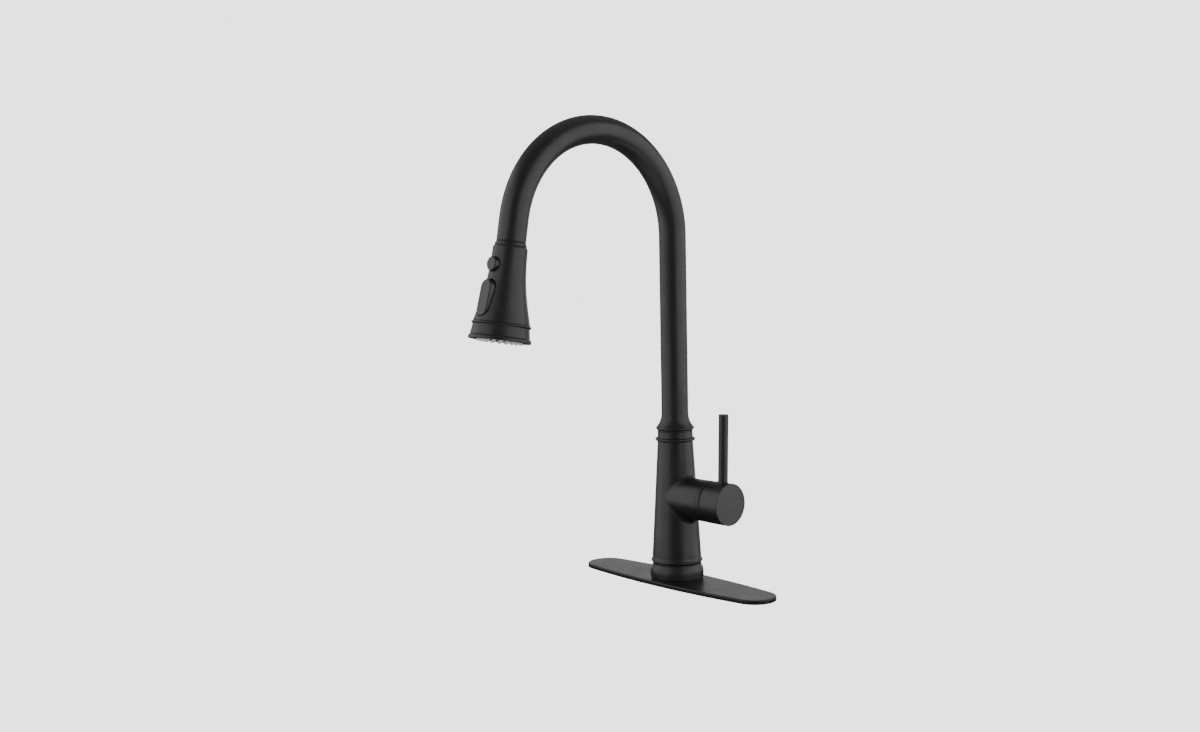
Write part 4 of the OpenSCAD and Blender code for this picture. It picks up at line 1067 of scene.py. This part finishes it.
braid = braid_material()
still_end = OUTLET_RUN + STRETCH_FROM - 0.02
still_stops = stretches((HOSE_FOOT, ARC_HEIGHT, OUTLET_RUN, still_end), (19, 72, 1))
hose_length("pull_out_hose_braided", still_stops, still_stops, "spout")
drawn_stops = OUTLET_RUN + stretches((STRETCH_FROM, STRETCH_TO, DRAWN_END), (89, 1))
share = np.clip((drawn_stops - drawn_stops[0]) / (STRETCH_TO - STRETCH_FROM), 0, 1)
drawn_lengths = drawn_stops + PULL * share**2 * (3 - 2 * share)
drawn = hose_length("pull_out_hose_drawn", drawn_stops, drawn_lengths, None)
tuple(at_outlet([0, 0, STRETCH_FROM]) * MM)
tuple(at_outlet([0, 0, STRETCH_TO]) * MM)
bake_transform(drawn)

# %% [markdown]
# ## Finishes of the pieces inside
#
# Pieces that show only when something moves, or never, keep the construction model's shape. Each
# still gets the finish of what it is made of.

# %% Materials of the construction nodes that stay
INSIDE = {
    rubber: ["deck_plate_underlay", "base_gasket", "cartridge_seals", "swivel_o_rings",
             "hose_washer", "core_seal"],
    white_plastic: ["cartridge_housing", "swivel_bushes", "head_core", "pause_plunger"],
    ceramic: ["ceramic_disc_fixed", "ceramic_disc_moving"],
    blue_plastic: ["cartridge_carrier"],
    steel: ["cartridge_pin", "handle_set_screw", "spout_clip", "rocker_pin"],
    brass: ["cartridge_stem", "cartridge_nut", "hose_tail_fitting", "hose_end_nut"],
    plain_black: ["outlet_guide", "spray_plate", "aerator"],
}
for material, names in INSIDE.items():
    for name in names:
        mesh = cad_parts[name].data
        mesh.materials.clear()
        mesh.materials.append(material)
print("construction nodes with a finish:", sum(map(len, INSIDE.values())))

# %% [markdown]
# ## Floor and light
#
# A black object shows its lights more than itself. Two soft boxes stand left and right: their
# reflections make the two grey bands on each upright, and the gap between them makes the dark
# line. A dim wall of light far behind is what the deck plate mirrors at its flat angle, and two
# weak boxes above and below keep the edges of the arc and of the port from going quite black. The
# floor and the backdrop are plain and pale, and bright only where the eye meets them, so that
# they don't wash out the black. A dark card under the plate, which only reflections meet, keeps
# the plate's edge dark against its top. The floor lies as far below the deck as the bottom of a
# sink, where there is room for the pulled-out head.

# %% Floor and backdrop
BACKDROP, AIR, FLOOR_SHADE, FLOOR_PALE, FLOOR_LEVEL = 2.6, 0.16, 0.1, 0.8, -0.2


def seen_or_not(tree, seen, otherwise):
    """One value where the eye looks straight at the surface, else the other: otherwise +
    (seen - otherwise) times the light path's own 1 or 0."""
    path = add_node(tree, "LightPath", {}, "Is Camera Ray")
    inputs = {0: path, 1: seen - otherwise, 2: otherwise}
    return add_node(tree, "Math", inputs, "Value", operation="MULTIPLY_ADD")


def flat_sheet(name, half_x, half_y, height):
    """A rectangle about the middle, with a matte finish of its own. Returns it and its shader."""
    paint, shader = new_material(name + "_paint")
    set_inputs(shader, {"Specular IOR Level": 0.0, "Roughness": 0.9})
    corners = [(-half_x, -half_y), (half_x, -half_y), (half_x, half_y), (-half_x, half_y)]
    sheet = mesh_object(name, [(x, y, height) for x, y in corners], [(0, 1, 2, 3)], paint)
    return sheet, shader


floor, paint = flat_sheet("floor", half_x=40.0, half_y=40.0, height=FLOOR_LEVEL)
tree = paint.id_data
even = BACKDROP + AIR - AIR * FLOOR_SHADE  # with what it throws back, this is the backdrop's shade
set_inputs(paint, {
    "Base Color": seen_or_not(tree, FLOOR_SHADE, FLOOR_PALE),
    "Emission Color": (1, 1, 1, 1), "Emission Strength": seen_or_not(tree, even, 0.0),
})
floor.visible_glossy = False

card, paint = flat_sheet("dark_card", half_x=0.17, half_y=0.1, height=0.0002)
set_inputs(paint, {"Base Color": (0.05, 0.05, 0.05, 1)})
card.visible_camera = card.visible_diffuse = card.visible_shadow = False

world = bpy.data.worlds.new("studio")
bpy.context.scene.world = world
world.use_nodes = True
air = world.node_tree
strength = seen_or_not(air, BACKDROP + AIR, AIR)
set_inputs(air.nodes["Background"], {"Color": (1, 1, 1, 1), "Strength": strength})
print("backdrop strength:", BACKDROP)


# %% Soft boxes
LIT_SPOT = (0.0, -0.1, 0.22)


def soft_box(name, azimuth, distance, height, width, tall, radiance):
    """An area light, in degrees and metres round the faucet, that faces the lit spot. Its power is
    the wanted brightness times pi times its area."""
    light = bpy.data.lights.new(name, "AREA")
    light.shape = "RECTANGLE"
    light.size, light.size_y = width, tall
    light.energy = radiance * np.pi * width * tall
    lamp = bpy.data.objects.new(name, light)
    a = np.radians(azimuth)
    spot = np.array([distance * np.sin(a), -distance * np.cos(a), height])
    z = unit(spot - LIT_SPOT)
    x = unit(np.cross([0.0, 0.0, 1.0], z))
    place_at(lamp, x, np.cross(z, x), z, spot)
    lamp.visible_camera = False
    print(f"{name}: {light.energy:.1f} W")
    return lamp


soft_box("soft_box_left", -33, 1.7, 0.6, 3.6, 2.4, 1.3)
soft_box("soft_box_right", 118, 1.7, 0.5, 3.7, 2.3, 1.5)
soft_box("soft_box_above", 228, 0.8, 2.6, 3.2, 3.2, 0.2)
soft_box("soft_box_below", 60, 0.6, -1.6, 3.0, 3.0, 0.8)
soft_box("light_wall_behind", 222, 9.0, 0.8, 14.0, 5.0, 0.85).visible_diffuse = False
